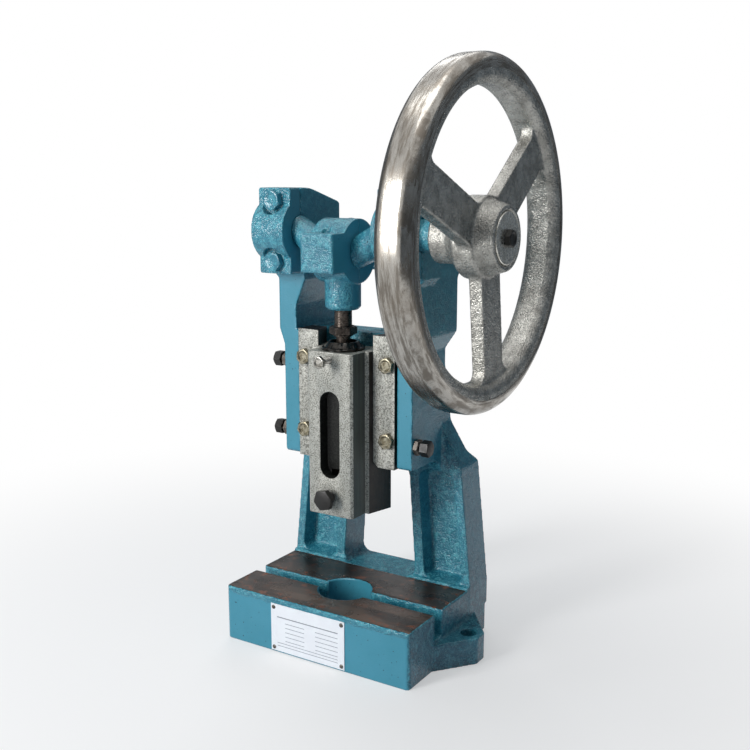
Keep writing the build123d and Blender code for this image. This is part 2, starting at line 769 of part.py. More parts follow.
punch_clamp_bolt = hex_bolt(facing_front(0, -slide_front - clamp_standoff, clamp_z), clamp_flats,
                            clamp_head_height, clamp_radius,
                            clamp_standoff + slide_front - shank_hole_radius - clamp_play)
retaining_nut_lock_screw = hex_bolt(facing_front(0, -slide_front - stop_screw_standoff, stop_screw_z),
                                    stop_screw_flats, stop_screw_head_height, stop_screw_radius,
                                    slide_front + stop_screw_standoff - ball_nut_radius)


# Gibs, bolted to the back wall and pushed in by the side screws
with BuildPart() as gib_blank:
    with BuildSketch(Plane.XY.offset(gib_bottom)):
        with BuildLine():
            Polyline(
                (flank_x(gib_front), gib_front),
                (gib_outer, gib_front),
                (gib_outer, wall_front),
                (flank_x(wall_front), wall_front),
                close=True,
            )
        make_face()
    extrude(amount=gib_top - gib_bottom)
    chamfer(gib_blank.edges().group_by(Axis.Z)[0].sort_by(Axis.X)[0], gib_corner)
    for height in gib_bolt_heights:
        add(rod_from(facing_front(gib_bolt_x, gib_front, height), gib_bolt_radius + gib_hole_clearance, wall_front),
            mode=Mode.SUBTRACT)

with BuildPart() as right_gib:
    add(gib_blank.part)
with BuildPart() as left_gib:
    add(mirror(gib_blank.part, about=Plane.YZ, mode=Mode.PRIVATE))


def gib_bolts(side):
    """The two bolts of one gib."""
    with BuildPart() as bolts:
        for height in gib_bolt_heights:
            add(hex_bolt(facing_front(side * gib_bolt_x, gib_front, height), gib_bolt_flats, gib_bolt_head_height,
                         gib_bolt_radius, wall_front - gib_front + gib_bolt_depth))
    return bolts.part


def side_screws(side):
    """The two set screws of one cheek, their tips against the gib."""
    with BuildPart() as screws:
        for height in side_screw_heights:
            add(hex_bolt(facing_side(side * side_head_x, side_screw_y, height, side), side_screw_flats,
                         side_screw_head_height, side_screw_radius, side_head_x - gib_outer))
    return screws.part


def side_nuts(side):
    """The lock nuts of one cheek's set screws."""
    with BuildPart() as nuts:
        for height in side_screw_heights:
            seat = facing_side(side * housing_width / 2, side_screw_y, height, side)
            add(hexagon(seat, side_screw_flats, side_nut_height))
            add(rod_from(seat.offset(side_nut_height), side_screw_radius + thread_clearance, side_nut_height),
                mode=Mode.SUBTRACT)
    return nuts.part


# Nameplate, riveted to the front of the base
with BuildPart() as nameplate:
    with Locations((plate_shift, -table_front, plate_bottom)):
        Box(plate_width, plate_thickness, plate_height, align=(Align.CENTER, Align.MAX, Align.MIN))
    for x in rivet_x:
        for z in rivet_z:
            add(rod_from(facing_front(x, -table_front - plate_thickness, z), rivet_radius + thread_clearance,
                         plate_thickness), mode=Mode.SUBTRACT)

with BuildPart() as nameplate_rivets:
    for x in rivet_x:
        for z in rivet_z:
            seat = facing_front(x, -table_front - plate_thickness, z)
            add(rod_from(seat, rivet_radius, plate_thickness + rivet_depth))
            add(rod_from(seat.offset(rivet_head_height), rivet_head_radius, rivet_head_height))


nodes = {
    "frame_casting": frame.part,
    "left_bearing_cap": left_bearing_cap.part,
    "right_bearing_cap": right_bearing_cap.part,
    "left_cap_bolts": cap_bolts(-1),
    "right_cap_bolts": cap_bolts(1),
    "crankshaft": crankshaft.part,
    "wheel_key": wheel_key.part,
    "handwheel": handwheel.part,
    "wheel_washer": wheel_washer.part,
    "wheel_bolt": wheel_bolt,
    "connecting_rod": connecting_rod.part,
    "connecting_rod_cap": connecting_rod_cap.part,
    "rod_cap_bolts": rod_cap_bolts.part,
    "ball_screw": ball_screw.part,
    "ball_screw_lock_nut": ball_screw_lock_nut.part,
    "ball_retaining_nut": ball_retaining_nut.part,
    "slide": slide.part,
    "retaining_nut_lock_screw": retaining_nut_lock_screw,
    "punch_clamp_bolt": punch_clamp_bolt,
    "left_gib": left_gib.part,
    "right_gib": right_gib.part,
    "left_gib_bolts": gib_bolts(-1),
    "right_gib_bolts": gib_bolts(1),
    "left_side_set_screws": side_screws(-1),
    "right_side_set_screws": side_screws(1),
    "left_side_lock_nuts": side_nuts(-1),
    "right_side_lock_nuts": side_nuts(1),
    "nameplate": nameplate.part,
    "nameplate_rivets": nameplate_rivets.part,
}
for name, solid in nodes.items():
    solid.label = name
    export_step(solid, f"parts/{name}.step")
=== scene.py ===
# %% [markdown]
# # A hand wheel bench punch press
# The press stands on four kinds of surface: rough iron castings under thick blue enamel, machined iron
# that is left bare, a speckled grey paint on the slide and its gibs, and small steel parts.
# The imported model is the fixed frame. Each visible part is made again here over its solid, in metres,
# with the rounded edges and rough skin that the real one has, and rides on the same body.

import json
from math import asin, cos, pi, radians, sin, tau

import bmesh
import bpy
import numpy as np
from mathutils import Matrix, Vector


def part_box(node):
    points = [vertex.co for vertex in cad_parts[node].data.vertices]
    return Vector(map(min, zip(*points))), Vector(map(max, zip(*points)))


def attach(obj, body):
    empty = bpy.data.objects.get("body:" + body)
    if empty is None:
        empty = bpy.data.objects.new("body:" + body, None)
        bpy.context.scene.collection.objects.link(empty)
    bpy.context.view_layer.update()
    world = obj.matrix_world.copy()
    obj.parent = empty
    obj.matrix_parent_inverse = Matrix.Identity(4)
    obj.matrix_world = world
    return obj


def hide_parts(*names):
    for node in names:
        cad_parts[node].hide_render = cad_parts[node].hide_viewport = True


MM = 0.001
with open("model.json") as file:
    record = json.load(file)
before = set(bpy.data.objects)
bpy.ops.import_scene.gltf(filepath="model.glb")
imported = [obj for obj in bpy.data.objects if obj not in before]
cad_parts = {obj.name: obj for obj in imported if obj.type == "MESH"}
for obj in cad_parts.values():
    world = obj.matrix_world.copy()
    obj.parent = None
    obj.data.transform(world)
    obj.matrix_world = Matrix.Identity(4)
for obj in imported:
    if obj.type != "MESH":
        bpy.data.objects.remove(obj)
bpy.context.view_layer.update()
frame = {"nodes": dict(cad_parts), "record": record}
body_of_node = {
    node: body
    for body, nodes in frame["record"]["behaviour"]["bodies"].items()
    for node in nodes
}

# %% [markdown]
# ## Places that the looks depend on
# A machined face is known by where it lies, so the paint's mask can be worked out from Object
# coordinates. Most places are read from the solids' boxes. The rest are the casting's own depths.

# %% Places from the solids
base_low, base_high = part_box("frame_casting")
plate_low, plate_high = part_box("nameplate")
wheel_low, wheel_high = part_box("handwheel")
slide_low, slide_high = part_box("slide")

TABLE_TOP = 52.4 * MM
TABLE_FRONT = base_low.y
TABLE_REAR = 56 * MM
TABLE_SIDE = 100 * MM
GROOVE_HALF = 5.7 * MM
DIE_HOLE = 25 * MM
CHEEK_FRONT = 4 * MM
SLOT_HALF, SLOT_LOW, SLOT_HIGH = 10.6 * MM, 165 * MM, 246 * MM
SHAFT_HEIGHT = (wheel_low.z + wheel_high.z) / 2
WHEEL_OUTER = (wheel_high.z - wheel_low.z) / 2
RIM_MIDDLE_X = 133.6 * MM
RIM_RADIUS = 131.2 * MM
print("shaft height", round(SHAFT_HEIGHT, 4), "wheel radius", round(WHEEL_OUTER, 4))

# %% [markdown]
# ## Node helpers
# Every material below is a small tree of shader nodes. These helpers make a node, fill its inputs by
# name and link it in one line, so that each material reads as a recipe. They all add to the tree that
# was started last. An input takes either a socket, which is a value that changes over the surface, or a
# plain number or colour, which is the same all over.


# %% Small helpers for node trees
def start(new_tree):
    """Names the tree that the helpers below add to."""
    global tree
    tree = new_tree
    return tree


def put(thing, **settings):
    """Sets properties by name and hands the thing back."""
    for name, value in settings.items():
        setattr(thing, name, value)
    return thing


def fill(socket, value):
    """Links a socket, or writes a plain value on the input itself."""
    if isinstance(value, bpy.types.NodeSocket):
        tree.links.new(value, socket)
    else:
        socket.default_value = value


def add_node(kind, inputs=None, **settings):
    """Adds a node, sets its properties and fills its inputs by name or index."""
    node = put(tree.nodes.new(kind), **settings)
    for name, value in (inputs or {}).items():
        fill(node.inputs[name], value)
    return node


def math_node(operation, a, b=0.0):
    """One step of arithmetic, whose result is a socket."""
    return add_node("ShaderNodeMath", {0: a, 1: b}, operation=operation).outputs[0]


def times(a, b):
    """Product of two values."""
    return math_node("MULTIPLY", a, b)


def plus(a, b):
    """Sum of two values."""
    return math_node("ADD", a, b)


def minus(a, b):
    """Difference of two values."""
    return math_node("SUBTRACT", a, b)


def ramp(value, low, high, to_low=0.0, to_high=1.0):
    """Maps a value's range onto another, smoothly and without overshoot."""
    inputs = {"Value": value, "From Min": low, "From Max": high, "To Min": to_low, "To Max": to_high}
    return add_node("ShaderNodeMapRange", inputs, interpolation_type="SMOOTHSTEP").outputs["Result"]


def mix_colour(share, a, b):
    """Mixes two colours by a share."""
    return add_node("ShaderNodeMix", {0: share, 6: a, 7: b}, data_type="RGBA").outputs[2]


def mix_value(share, a, b):
    """Mixes two numbers by a share."""
    return add_node("ShaderNodeMix", {0: share, 2: a, 3: b}).outputs[0]


def noise(size, detail=3.0, roughness=0.55, where=None, distortion=0.0):
    """Noise whose features are about `size` metres across, on Object coordinates or another place."""
    where = where or object_place()
    scale = math_node("DIVIDE", 1.0, size) if isinstance(size, bpy.types.NodeSocket) else 1.0 / size
    inputs = {"Vector": where, "Scale": scale, "Detail": detail, "Roughness": roughness, "Distortion": distortion}
    return add_node("ShaderNodeTexNoise", inputs).outputs["Fac"]


def patches(size, detail, low, high, to_low=0.0, to_high=1.0, roughness=0.55, where=None):
    """Noise turned into patches: it passes from `low` to `high` at their edges."""
    return ramp(noise(size, detail, roughness, where), low, high, to_low, to_high)


def tint(base, mask, share, colour):
    """Puts a colour over a base where a mask says so, at most by a share."""
    return mix_colour(times(mask, share), base, colour)


def vector_of(**parts):
    """A vector from the parts that are given; the others are 0."""
    return add_node("ShaderNodeCombineXYZ", parts).outputs[0]


def length_of(vector):
    """A vector's length."""
    return add_node("ShaderNodeVectorMath", {0: vector}, operation="LENGTH").outputs["Value"]


def object_place():
    """Object coordinates, which are metres in the press's own frame."""
    return tree.nodes.new("ShaderNodeTexCoord").outputs["Object"]


def stretched(*squeeze):
    """Object coordinates with each axis squeezed, so that a noise on them runs along the smallest."""
    return add_node("ShaderNodeVectorMath", {0: object_place(), 1: squeeze}, operation="MULTIPLY").outputs[0]


def srgb(red, green, blue):
    """A colour as seen on a screen, 0 to 255, turned into the linear values a shader wants."""
    def linear(value):
        value = value / 255
        return value / 12.92 if value <= 0.04045 else ((value + 0.055) / 1.055) ** 2.4
    return (linear(red), linear(green), linear(blue), 1.0)


def group_tree(name, inputs, outputs):
    """Starts a shader node group with named number inputs and named outputs."""
    start(bpy.data.node_groups.new(name, "ShaderNodeTree"))
    for label, default in inputs.items():
        socket = tree.interface.new_socket(label, in_out="INPUT", socket_type="NodeSocketFloat")
        socket.default_value = default
    for label in outputs:
        tree.interface.new_socket(label, in_out="OUTPUT", socket_type="NodeSocketFloat")
    return tree, tree.nodes.new("NodeGroupInput").outputs, tree.nodes.new("NodeGroupOutput").inputs


def use_group(group, **values):
    """Places a group in the tree. Spaces in input names are written as underscores."""
    inputs = {name.replace("_", " "): value for name, value in values.items()}
    return add_node("ShaderNodeGroup", inputs, node_tree=group).outputs


# %% [markdown]
# ## Effects that several finishes share
# Five shader groups do the work. *Cast skin* is the lumpy surface that sand leaves in iron and that
# thick enamel softens. *Edge wear and light* finds sharp edges with a Bevel node, by how far the rounded
# normal leaves the true one; on the enamel its pale tint is a painted edge highlight as well as wear.
# *Grime and shade* darkens corners where ambient occlusion is dark: grime, and painted shade in the
# corners. *Tool marks* are fine lines stretched along one axis, as a mill, a file or a lathe leaves them.
# *Speckle* is the broken grain of a sprayed hammer paint.

# %% Cast skin
cast_skin, given, result = group_tree(
    "cast_skin", {"Lump Size": 0.007, "Grain Size": 0.0014, "Lump Share": 0.6}, ["Height", "Pits"]
)
lumps = noise(given["Lump Size"], 2.0, 0.5, distortion=0.4)
grains = noise(given["Grain Size"], 1.5, 0.5)
grain_scale = math_node("DIVIDE", 1.0, given["Grain Size"])
cells = add_node(
    "ShaderNodeTexVoronoi",
    {"Vector": object_place(), "Scale": grain_scale, "Smoothness": 0.8},
    feature="SMOOTH_F1",
).outputs["Distance"]
fine = plus(grains, times(cells, 0.35))
fill(result["Height"], mix_value(given["Lump Share"], fine, lumps))
fill(result["Pits"], ramp(fine, 0.60, 0.42))

# %% Edge wear, and painted edge light
edge_wear_and_light, given, result = group_tree("edge_wear_and_light", {"Width": 0.001, "Patch Size": 0.006}, ["Mask"])
# the patchy edge mask stands for wear on paint and steel, and for a painted edge highlight on the enamel
rounded = add_node("ShaderNodeBevel", {"Radius": given["Width"]}, samples=6).outputs[0]
true_normal = tree.nodes.new("ShaderNodeNewGeometry").outputs["Normal"]
agreement = add_node(
    "ShaderNodeVectorMath", {0: rounded, 1: true_normal}, operation="DOT_PRODUCT"
).outputs["Value"]
worn = patches(given["Patch Size"], 4.0, 0.42, 0.62, roughness=0.7)
worn = times(ramp(agreement, 0.985, 0.90), worn)
fill(result["Mask"], worn)

# %% Grime and painted shade in corners
grime_and_shade, given, result = group_tree("grime_and_shade", {"Reach": 0.008, "Patch Size": 0.01}, ["Mask"])
occlusion = add_node(
    "ShaderNodeAmbientOcclusion", {"Distance": given["Reach"]}, samples=6, only_local=True
).outputs["AO"]
blotches = patches(given["Patch Size"], 4.0, 0.3, 0.7, roughness=0.5)
# painted shade: the mask rises where ambient occlusion is dark, broken into blotches like grime
soil_and_shade = times(ramp(occlusion, 0.75, 0.25), blotches)
fill(result["Mask"], soil_and_shade)

# %% Tool marks
tool_marks, given, result = group_tree(
    "tool_marks", {"Along X": 0.02, "Along Y": 1.0, "Along Z": 1.0, "Line Size": 0.0006}, ["Height", "Streak"]
)
spread = vector_of(X=given["Along X"], Y=given["Along Y"], Z=given["Along Z"])
drawn_out = add_node(
    "ShaderNodeVectorMath", {0: object_place(), 1: spread}, operation="MULTIPLY"
).outputs[0]
fill(result["Height"], noise(given["Line Size"], 3.0, 0.6, where=drawn_out))
broad_size = times(given["Line Size"], 12.0)
fill(result["Streak"], patches(broad_size, 2.0, 0.35, 0.65, roughness=0.5, where=drawn_out))

# %% Speckle
speckle, given, result = group_tree("speckle", {"Grain Size": 0.001}, ["Pale", "Dark"])
fill(result["Pale"], patches(given["Grain Size"], 2.0, 0.40, 0.58, roughness=0.6))
drop_size = math_node("DIVIDE", given["Grain Size"], 0.62)
fill(result["Dark"], patches(drop_size, 1.0, 0.64, 0.72, roughness=0.5))
print("groups:", [group.name for group in bpy.data.node_groups])

# %% [markdown]
# ## Masks by place
# A face is machined when it looks one way and lies at one depth. The normal decides the first and
# Object coordinates the second. The normal is read through a Vector Transform to object space, so the
# mask stays with the part when a joint turns it.


# %% Masks by place
def facing(axis, sign=1, low=0.80, high=0.95):
    """1 where the surface looks along an axis of the object."""
    normal = tree.nodes.new("ShaderNodeNewGeometry").outputs["Normal"]
    local = add_node(
        "ShaderNodeVectorTransform", {"Vector": normal},
        vector_type="NORMAL", convert_from="WORLD", convert_to="OBJECT",
    ).outputs[0]
    value = add_node("ShaderNodeSeparateXYZ", {0: local}).outputs[axis]
    return ramp(times(value, float(sign)), low, high)


def sideways(low=0.80, high=0.95):
    """1 where the surface looks along the shaft, to either side."""
    return math_node("MAXIMUM", facing("X", 1, low, high), facing("X", -1, low, high))


def coordinates():
    """The three Object coordinates as sockets."""
    return add_node("ShaderNodeSeparateXYZ", {0: object_place()}).outputs


def distance_from(value, centre):
    """How far a value lies from a centre."""
    return math_node("ABSOLUTE", minus(value, centre))


def between(value, low, high, soft=0.0004):
    """1 where a value lies between two limits."""
    half = (high - low) / 2
    return ramp(distance_from(value, (low + high) / 2), half + soft, half - soft)


def combined(operation, *values):
    """Chains one operation over several sockets."""
    total = values[0]
    for value in values[1:]:
        total = math_node(operation, total, value)
    return total


def new_material(name):
    """A material with its shader and output; its tree is started."""
    material = put(bpy.data.materials.new(name), use_nodes=True)
    start(material.node_tree).nodes.clear()
    shader = add_node("ShaderNodeBsdfPrincipled")
    add_node("ShaderNodeOutputMaterial", {"Surface": shader.outputs[0]})
    return material, shader


def finish_surface(shader, colour, roughness, height, bump, metallic=0.0):
    """Fills the shader's main inputs; a plain number goes on the input itself."""
    fill(shader.inputs["Base Color"], colour)
    fill(shader.inputs["Roughness"], roughness)
    fill(shader.inputs["Metallic"], metallic)
    bumped = add_node("ShaderNodeBump", {"Height": height, "Distance": bump, "Strength": 1.0})
    fill(shader.inputs["Normal"], bumped.outputs[0])


# %% [markdown]
# ## Blue enamel
# The castings are painted with thick turquoise enamel. It pools over the sand's lumps, so the surface is
# glossy and broken at two sizes, a few millimetres and about one. Where the iron was milled before
# painting, such as the cheeks' fronts, the same paint lies flat and looks lighter and duller. One function
# makes the paint, and each casting says where it is flat.

# %% Blue enamel
ENAMEL_DEEP = srgb(34, 108, 128)
ENAMEL_MID = srgb(50, 130, 150)
ENAMEL_FLAT = srgb(62, 141, 161)
ENAMEL_CREST = srgb(84, 168, 182)


def enamel_colour(skin, flat, dirt_and_shade):
    """Base colour of the enamel: dark in pits, grime and painted shade in corners, pale on crests and on flat
    faces.
    """
    drift = patches(0.04, 3, 0.3, 0.7)
    tone = mix_colour(drift, ENAMEL_DEEP, ENAMEL_MID)
    tone = mix_colour(ramp(skin["Height"], 0.50, 0.75), tone, ENAMEL_CREST)
    tone = tint(tone, skin["Pits"], 0.15, srgb(20, 84, 106))
    flat_tone = mix_colour(drift, ENAMEL_FLAT, srgb(70, 147, 168))
    tone = mix_colour(flat, tone, flat_tone)
    # painted shade with grime: occluded corners turn dark navy
    tone = tint(tone, dirt_and_shade, 0.6, srgb(12, 44, 58))
    chips = patches(0.0024, 1.0, 0.75, 0.78)
    return tint(tone, chips, 0.85, srgb(14, 38, 48))


def enamel(name, flat_mask, bare=None, flat_height=0.12, bump=0.0016, edge_highlight_share=0.2):
    """Enamel over a casting; `bare` may put other iron in where the paint was milled off."""
    material, shader = new_material(name)
    flat = flat_mask()
    skin = use_group(cast_skin, Lump_Size=0.006, Grain_Size=0.0014, Lump_Share=0.5)
    edge_mask = use_group(edge_wear_and_light, Width=0.0012, Patch_Size=0.005)["Mask"]
    dirt_and_shade = use_group(grime_and_shade, Reach=0.006, Patch_Size=0.012)["Mask"]
    colour = enamel_colour(skin, flat, dirt_and_shade)
    # painted edge highlight with wear: sharp edges are tinted pale cyan
    colour = tint(colour, edge_mask, edge_highlight_share, srgb(150, 205, 214))
    gloss = ramp(flat, 0.0, 1.0, 0.13, 0.34)
    gloss = plus(gloss, times(dirt_and_shade, 0.2))
    height = times(skin["Height"], ramp(flat, 0.0, 1.0, 1.0, flat_height))
    metal = 0.0
    if bare:
        mask, iron, iron_gloss, iron_height = bare()
        colour = mix_colour(mask, colour, iron)
        gloss = mix_value(mask, gloss, iron_gloss)
        height = mix_value(mask, height, iron_height)
        metal = times(mask, 0.2)
    shader.inputs["Specular IOR Level"].default_value = 0.5
    finish_surface(shader, colour, gloss, height, bump, metal)
    return material


# %% [markdown]
# ### The table's bare top
# The table is milled after painting, so its top is bare: brown-grey iron that is darker towards the rear,
# bands along the cutter's path and rust near the edges. The paint stops about a millimetre short of each
# edge, along a ragged line. To draw that line, the material works out how far a point is from the nearest
# edge, from the groove and from the die hole, and adds a small noise before it compares.


# %% Bare table
def table_inset():
    """Distance in metres from a point of the table's top to the nearest edge, groove or hole."""
    x, y, _ = coordinates()
    side = minus(TABLE_SIDE, math_node("ABSOLUTE", x))
    front = minus(y, TABLE_FRONT)
    rear = minus(TABLE_REAR, y)
    groove = minus(math_node("ABSOLUTE", y), GROOVE_HALF)
    hole = minus(length_of(vector_of(X=x, Y=y)), DIE_HOLE)
    return combined("MINIMUM", side, front, rear, groove, hole)


def bare_table():
    """Mask, colour, roughness and height of the milled top."""
    _, y, z = coordinates()
    inset = table_inset()
    ragged = times(minus(noise(0.0035, 4), 0.5), 0.0022)
    bared = ramp(plus(inset, ragged), 0.0009, 0.0013)
    level = between(z, TABLE_TOP - 1.1 * MM, TABLE_TOP + 0.6 * MM)
    mask = combined("MULTIPLY", bared, level, facing("Z", 1, 0.55, 0.8))
    band = patches(0.016, 3, 0.36, 0.62, where=stretched(0.16, 1.0, 1.0))
    iron = mix_colour(band, srgb(60, 48, 40), srgb(112, 90, 75))
    cloud = patches(0.045, 3, 0.42, 0.62)
    iron = tint(iron, cloud, 0.5, srgb(62, 58, 53))
    # darker towards the rear, from the front edge to just behind the groove
    darker_to_rear = ramp(y, -0.06, 0.02, 0.0, 0.75)
    iron = mix_colour(darker_to_rear, iron, srgb(36, 32, 28))
    near = ramp(inset, 0.016, 0.002)
    patch = patches(0.009, 6, 0.52, 0.66, roughness=0.65)
    rust = times(patch, ramp(near, 0.0, 1.0, 0.25, 0.95))
    iron = mix_colour(rust, iron, srgb(134, 74, 40))
    pits = patches(0.0014, 2, 0.66, 0.74)
    iron = tint(iron, pits, 0.5, srgb(40, 32, 26))
    gloss = patches(0.02, 3, 0.3, 0.7, 0.24, 0.36)
    marks = use_group(tool_marks, Along_X=0.03, Along_Y=1.0, Along_Z=1.0, Line_Size=0.0007)
    return mask, iron, gloss, times(marks["Height"], 0.04)


# %% [markdown]
# ### Where the enamel lies flat
# The frame's fronts are milled at three depths: the base's front, the cheeks beside the slide and the
# joint with the bearing caps. The inner sides of the bearings and the cheeks' outer sides are smoother
# than the rest too. On the rod, the crank and the caps, the sides that look along the shaft are milled.
# Along the table's front edge the paint has run into a rough bead, and in the die hole it lies smooth.


# %% Flat faces
def frame_flats():
    """Faces of the frame that were milled before painting."""
    x, y, z = coordinates()
    front = facing("Y", -1)
    cheeks = between(y, CHEEK_FRONT - 0.8 * MM, CHEEK_FRONT + 1.2 * MM)
    joint = between(y, -0.8 * MM, 0.8 * MM)
    base = between(y, TABLE_FRONT - 0.8 * MM, TABLE_FRONT + 1.4 * MM)
    bead = times(minus(noise(0.01, 3), 0.5), 0.008)
    base = times(base, ramp(plus(z, bead), TABLE_TOP - 2.9 * MM, TABLE_TOP - 6.9 * MM))
    fronts = times(front, combined("MAXIMUM", cheeks, joint, base))
    radius = length_of(vector_of(X=x, Y=y))
    hole = times(ramp(radius, DIE_HOLE + 1.5 * MM, DIE_HOLE + 0.5 * MM), ramp(z, 0.060, 0.055))
    sides = combined("MULTIPLY", sideways(), ramp(z, 0.045, 0.095), 0.5)
    return combined("MAXIMUM", fronts, hole, sides)


frame_enamel = enamel("frame_enamel", frame_flats, bare_table)
part_enamel = enamel("part_enamel", sideways)
# bolt heads get a strong pale edge tint, which is a painted edge highlight
bolt_enamel = enamel("bolt_enamel", sideways, bump=0.0006, edge_highlight_share=0.8)
print("enamels:", frame_enamel.name, part_enamel.name, bolt_enamel.name)

# %% [markdown]
# ## Speckled grey, and the slide's bare sides
# The slide's front and the gibs' fronts carry a thin warm grey hammer paint whose speckle is about a
# millimetre, with faint diagonal brushing. The slide's sides are ground and dark, its dovetail flanks are
# black with grease, and the long slot in its front is black inside. Places and directions tell these apart.


# %% Speckled grey
def speckled_grey():
    """Colour and roughness of the hammer paint."""
    speck = use_group(speckle, Grain_Size=0.0011)
    colour = mix_colour(speck["Pale"], srgb(112, 111, 103), srgb(184, 182, 172))
    brushed = noise(0.0022, 2, where=stretched(0.5, 0.5, 0.35))
    colour = mix_colour(ramp(brushed, 0.45, 0.65, 0.0, 0.35), colour, srgb(196, 194, 186))
    return tint(colour, speck["Dark"], 0.8, srgb(86, 84, 78))


def greased_iron():
    """Colour of iron under old grease, with a few bright scratches."""
    colour = mix_colour(patches(0.006, 5, 0.35, 0.65), srgb(11, 9, 7), srgb(32, 25, 21))
    scratch = patches(0.0016, 2, 0.70, 0.76, where=stretched(1.0, 1.0, 0.5))
    return tint(colour, scratch, 0.4, srgb(96, 90, 82))


def slide_finish(name):
    """Hammer paint in front, ground iron at the sides, grease on the flanks and black in the slot."""
    material, shader = new_material(name)
    x, y, z = coordinates()
    marks = use_group(tool_marks, Along_X=1.0, Along_Y=1.0, Along_Z=0.04, Line_Size=0.0008)
    ground = mix_colour(marks["Streak"], srgb(62, 66, 62), srgb(84, 88, 82))
    side = sideways()
    colour = mix_colour(side, speckled_grey(), ground)
    greased = times(sideways(0.4, 0.7), ramp(y, -1.9 * MM, -1.3 * MM))
    colour = mix_colour(greased, colour, greased_iron())
    edge_mask = use_group(edge_wear_and_light, Width=0.0007, Patch_Size=0.004)["Mask"]
    colour = tint(colour, edge_mask, 0.6, srgb(205, 205, 198))
    slot = combined(
        "MULTIPLY", ramp(math_node("ABSOLUTE", x), SLOT_HALF + 0.2 * MM, SLOT_HALF - 0.2 * MM),
        ramp(y, -22.7 * MM, -22.3 * MM), ramp(y, 0.0, -2 * MM), between(z, SLOT_LOW, SLOT_HIGH),
    )
    pit = mix_colour(patches(0.0016, 3, 0.4, 0.65), srgb(12, 12, 11), srgb(40, 42, 38))
    colour = mix_colour(slot, colour, pit)
    height = mix_value(side, noise(0.0010, 2), marks["Height"])
    gloss = mix_value(math_node("MAXIMUM", side, greased), 0.40, 0.36)
    finish_surface(shader, colour, gloss, height, 0.00035, 0.15)
    return material


def gib_finish(name):
    """Hammer paint on the gib's front and nearly black iron on its other sides."""
    material, shader = new_material(name)
    front = facing("Y", -1, 0.5, 0.8)
    edge_mask = use_group(edge_wear_and_light, Width=0.0006, Patch_Size=0.003)["Mask"]
    colour = mix_colour(front, greased_iron(), speckled_grey())
    colour = tint(colour, edge_mask, 0.5, srgb(200, 198, 190))
    gloss = patches(0.004, 3, 0.3, 0.7, 0.34, 0.46)
    finish_surface(shader, colour, gloss, noise(0.0010, 2), 0.00035, 0.15)
    return material


slide_grey = slide_finish("slide_grey")
gib_grey = gib_finish("gib_grey")
print("greys:", slide_grey.name, gib_grey.name)

# %% [markdown]
# ## The wheel: silver paint on a casting, and a turned rim
# The spokes, the hub and the inner half of the rim are rough and silver. The rim's outer half was turned
# and polished, and shows long soft reflections with streaks round the wheel. A streak that runs round the
# rim needs a coordinate that doesn't change along it, so the rim's noise is read at the point's distance
# from the shaft and its place along it, with only a slow change round the wheel.


# %% Wheel finishes
def silver_paint(name):
    """Silver paint on a rough casting, with dark dust and painted shade in its corners."""
    material, shader = new_material(name)
    skin = use_group(cast_skin, Lump_Size=0.004, Grain_Size=0.0012, Lump_Share=0.35)
    dirt_and_shade = use_group(grime_and_shade, Reach=0.012, Patch_Size=0.012)["Mask"]
    edge_mask = use_group(edge_wear_and_light, Width=0.0015, Patch_Size=0.004)["Mask"]
    cloud = patches(0.012, 5, 0.3, 0.7)
    colour = mix_colour(cloud, srgb(146, 144, 138), srgb(188, 186, 179))
    colour = tint(colour, skin["Pits"], 0.5, srgb(66, 64, 60))
    # painted shade with dust: occluded corners turn dark grey
    colour = tint(colour, dirt_and_shade, 0.8, srgb(54, 50, 46))
    colour = tint(colour, edge_mask, 0.6, srgb(210, 210, 206))
    gloss = patches(0.006, 3, 0.3, 0.7, 0.20, 0.34)
    finish_surface(shader, colour, gloss, skin["Height"], 0.0011, 0.62)
    return material


def round_the_wheel(slow):
    """A place that moves quickly across the rim and slowly round it."""
    x, y, z = coordinates()
    rise = minus(z, SHAFT_HEIGHT)
    radius = length_of(vector_of(Y=y, Z=rise))
    across = minus(radius, times(x, 0.35))
    return vector_of(X=plus(x, across), Y=times(y, slow), Z=times(rise, slow))


def polished_rim(name):
    """Turned and polished iron with fine lines, stains and dull streaks that run round the wheel."""
    material, shader = new_material(name)
    along = round_the_wheel(0.08)
    streak = patches(0.0018, 5, 0.40, 0.60, roughness=0.7, where=along)
    stain = patches(0.022, 6, 0.42, 0.66, roughness=0.65)
    colour = mix_colour(streak, srgb(172, 169, 163), srgb(114, 109, 102))
    colour = tint(colour, stain, 0.55, srgb(122, 114, 104))
    pits = patches(0.0016, 2, 0.68, 0.75)
    colour = tint(colour, pits, 0.6, srgb(84, 76, 68))
    gloss = plus(ramp(streak, 0.0, 1.0, 0.18, 0.30), times(stain, 0.08))
    finish_surface(shader, colour, gloss, noise(0.0005, 3, where=along), 0.00005, 0.96)
    return material


wheel_silver = silver_paint("cast_silver")
rim_steel = polished_rim("rim_steel")
print("wheel:", wheel_silver.name, rim_steel.name)

# %% [markdown]
# ## Small steel parts
# One function covers them: yellowish zinc on the gib bolts, brighter zinc on the lock screw, a still brighter
# copy of it on the washer that is painted light, black oxide on the side screws, and dark oiled steel on
# the ball screw and its nuts. The wear on their corners and the blotches in the plating are scaled down to
# a few tenths of a millimetre.


# %% Fastener finishes
def small_steel(name, colours, roughness, metallic, bump=0.00008):
    """Plated, blackened or oiled steel with worn corners and blotchy plating."""
    material, shader = new_material(name)
    dark, light, worn = (srgb(*colour) for colour in colours)
    edge_mask = use_group(edge_wear_and_light, Width=0.0005, Patch_Size=0.002)["Mask"]
    tone = patches(0.004, 4, 0.35, 0.65, roughness=0.6)
    colour = tint(mix_colour(tone, dark, light), edge_mask, 0.7, worn)
    gloss = patches(0.002, 3, 0.3, 0.7, roughness, roughness + 0.16)
    finish_surface(shader, colour, gloss, noise(0.0009, 2), bump, metallic)
    return material


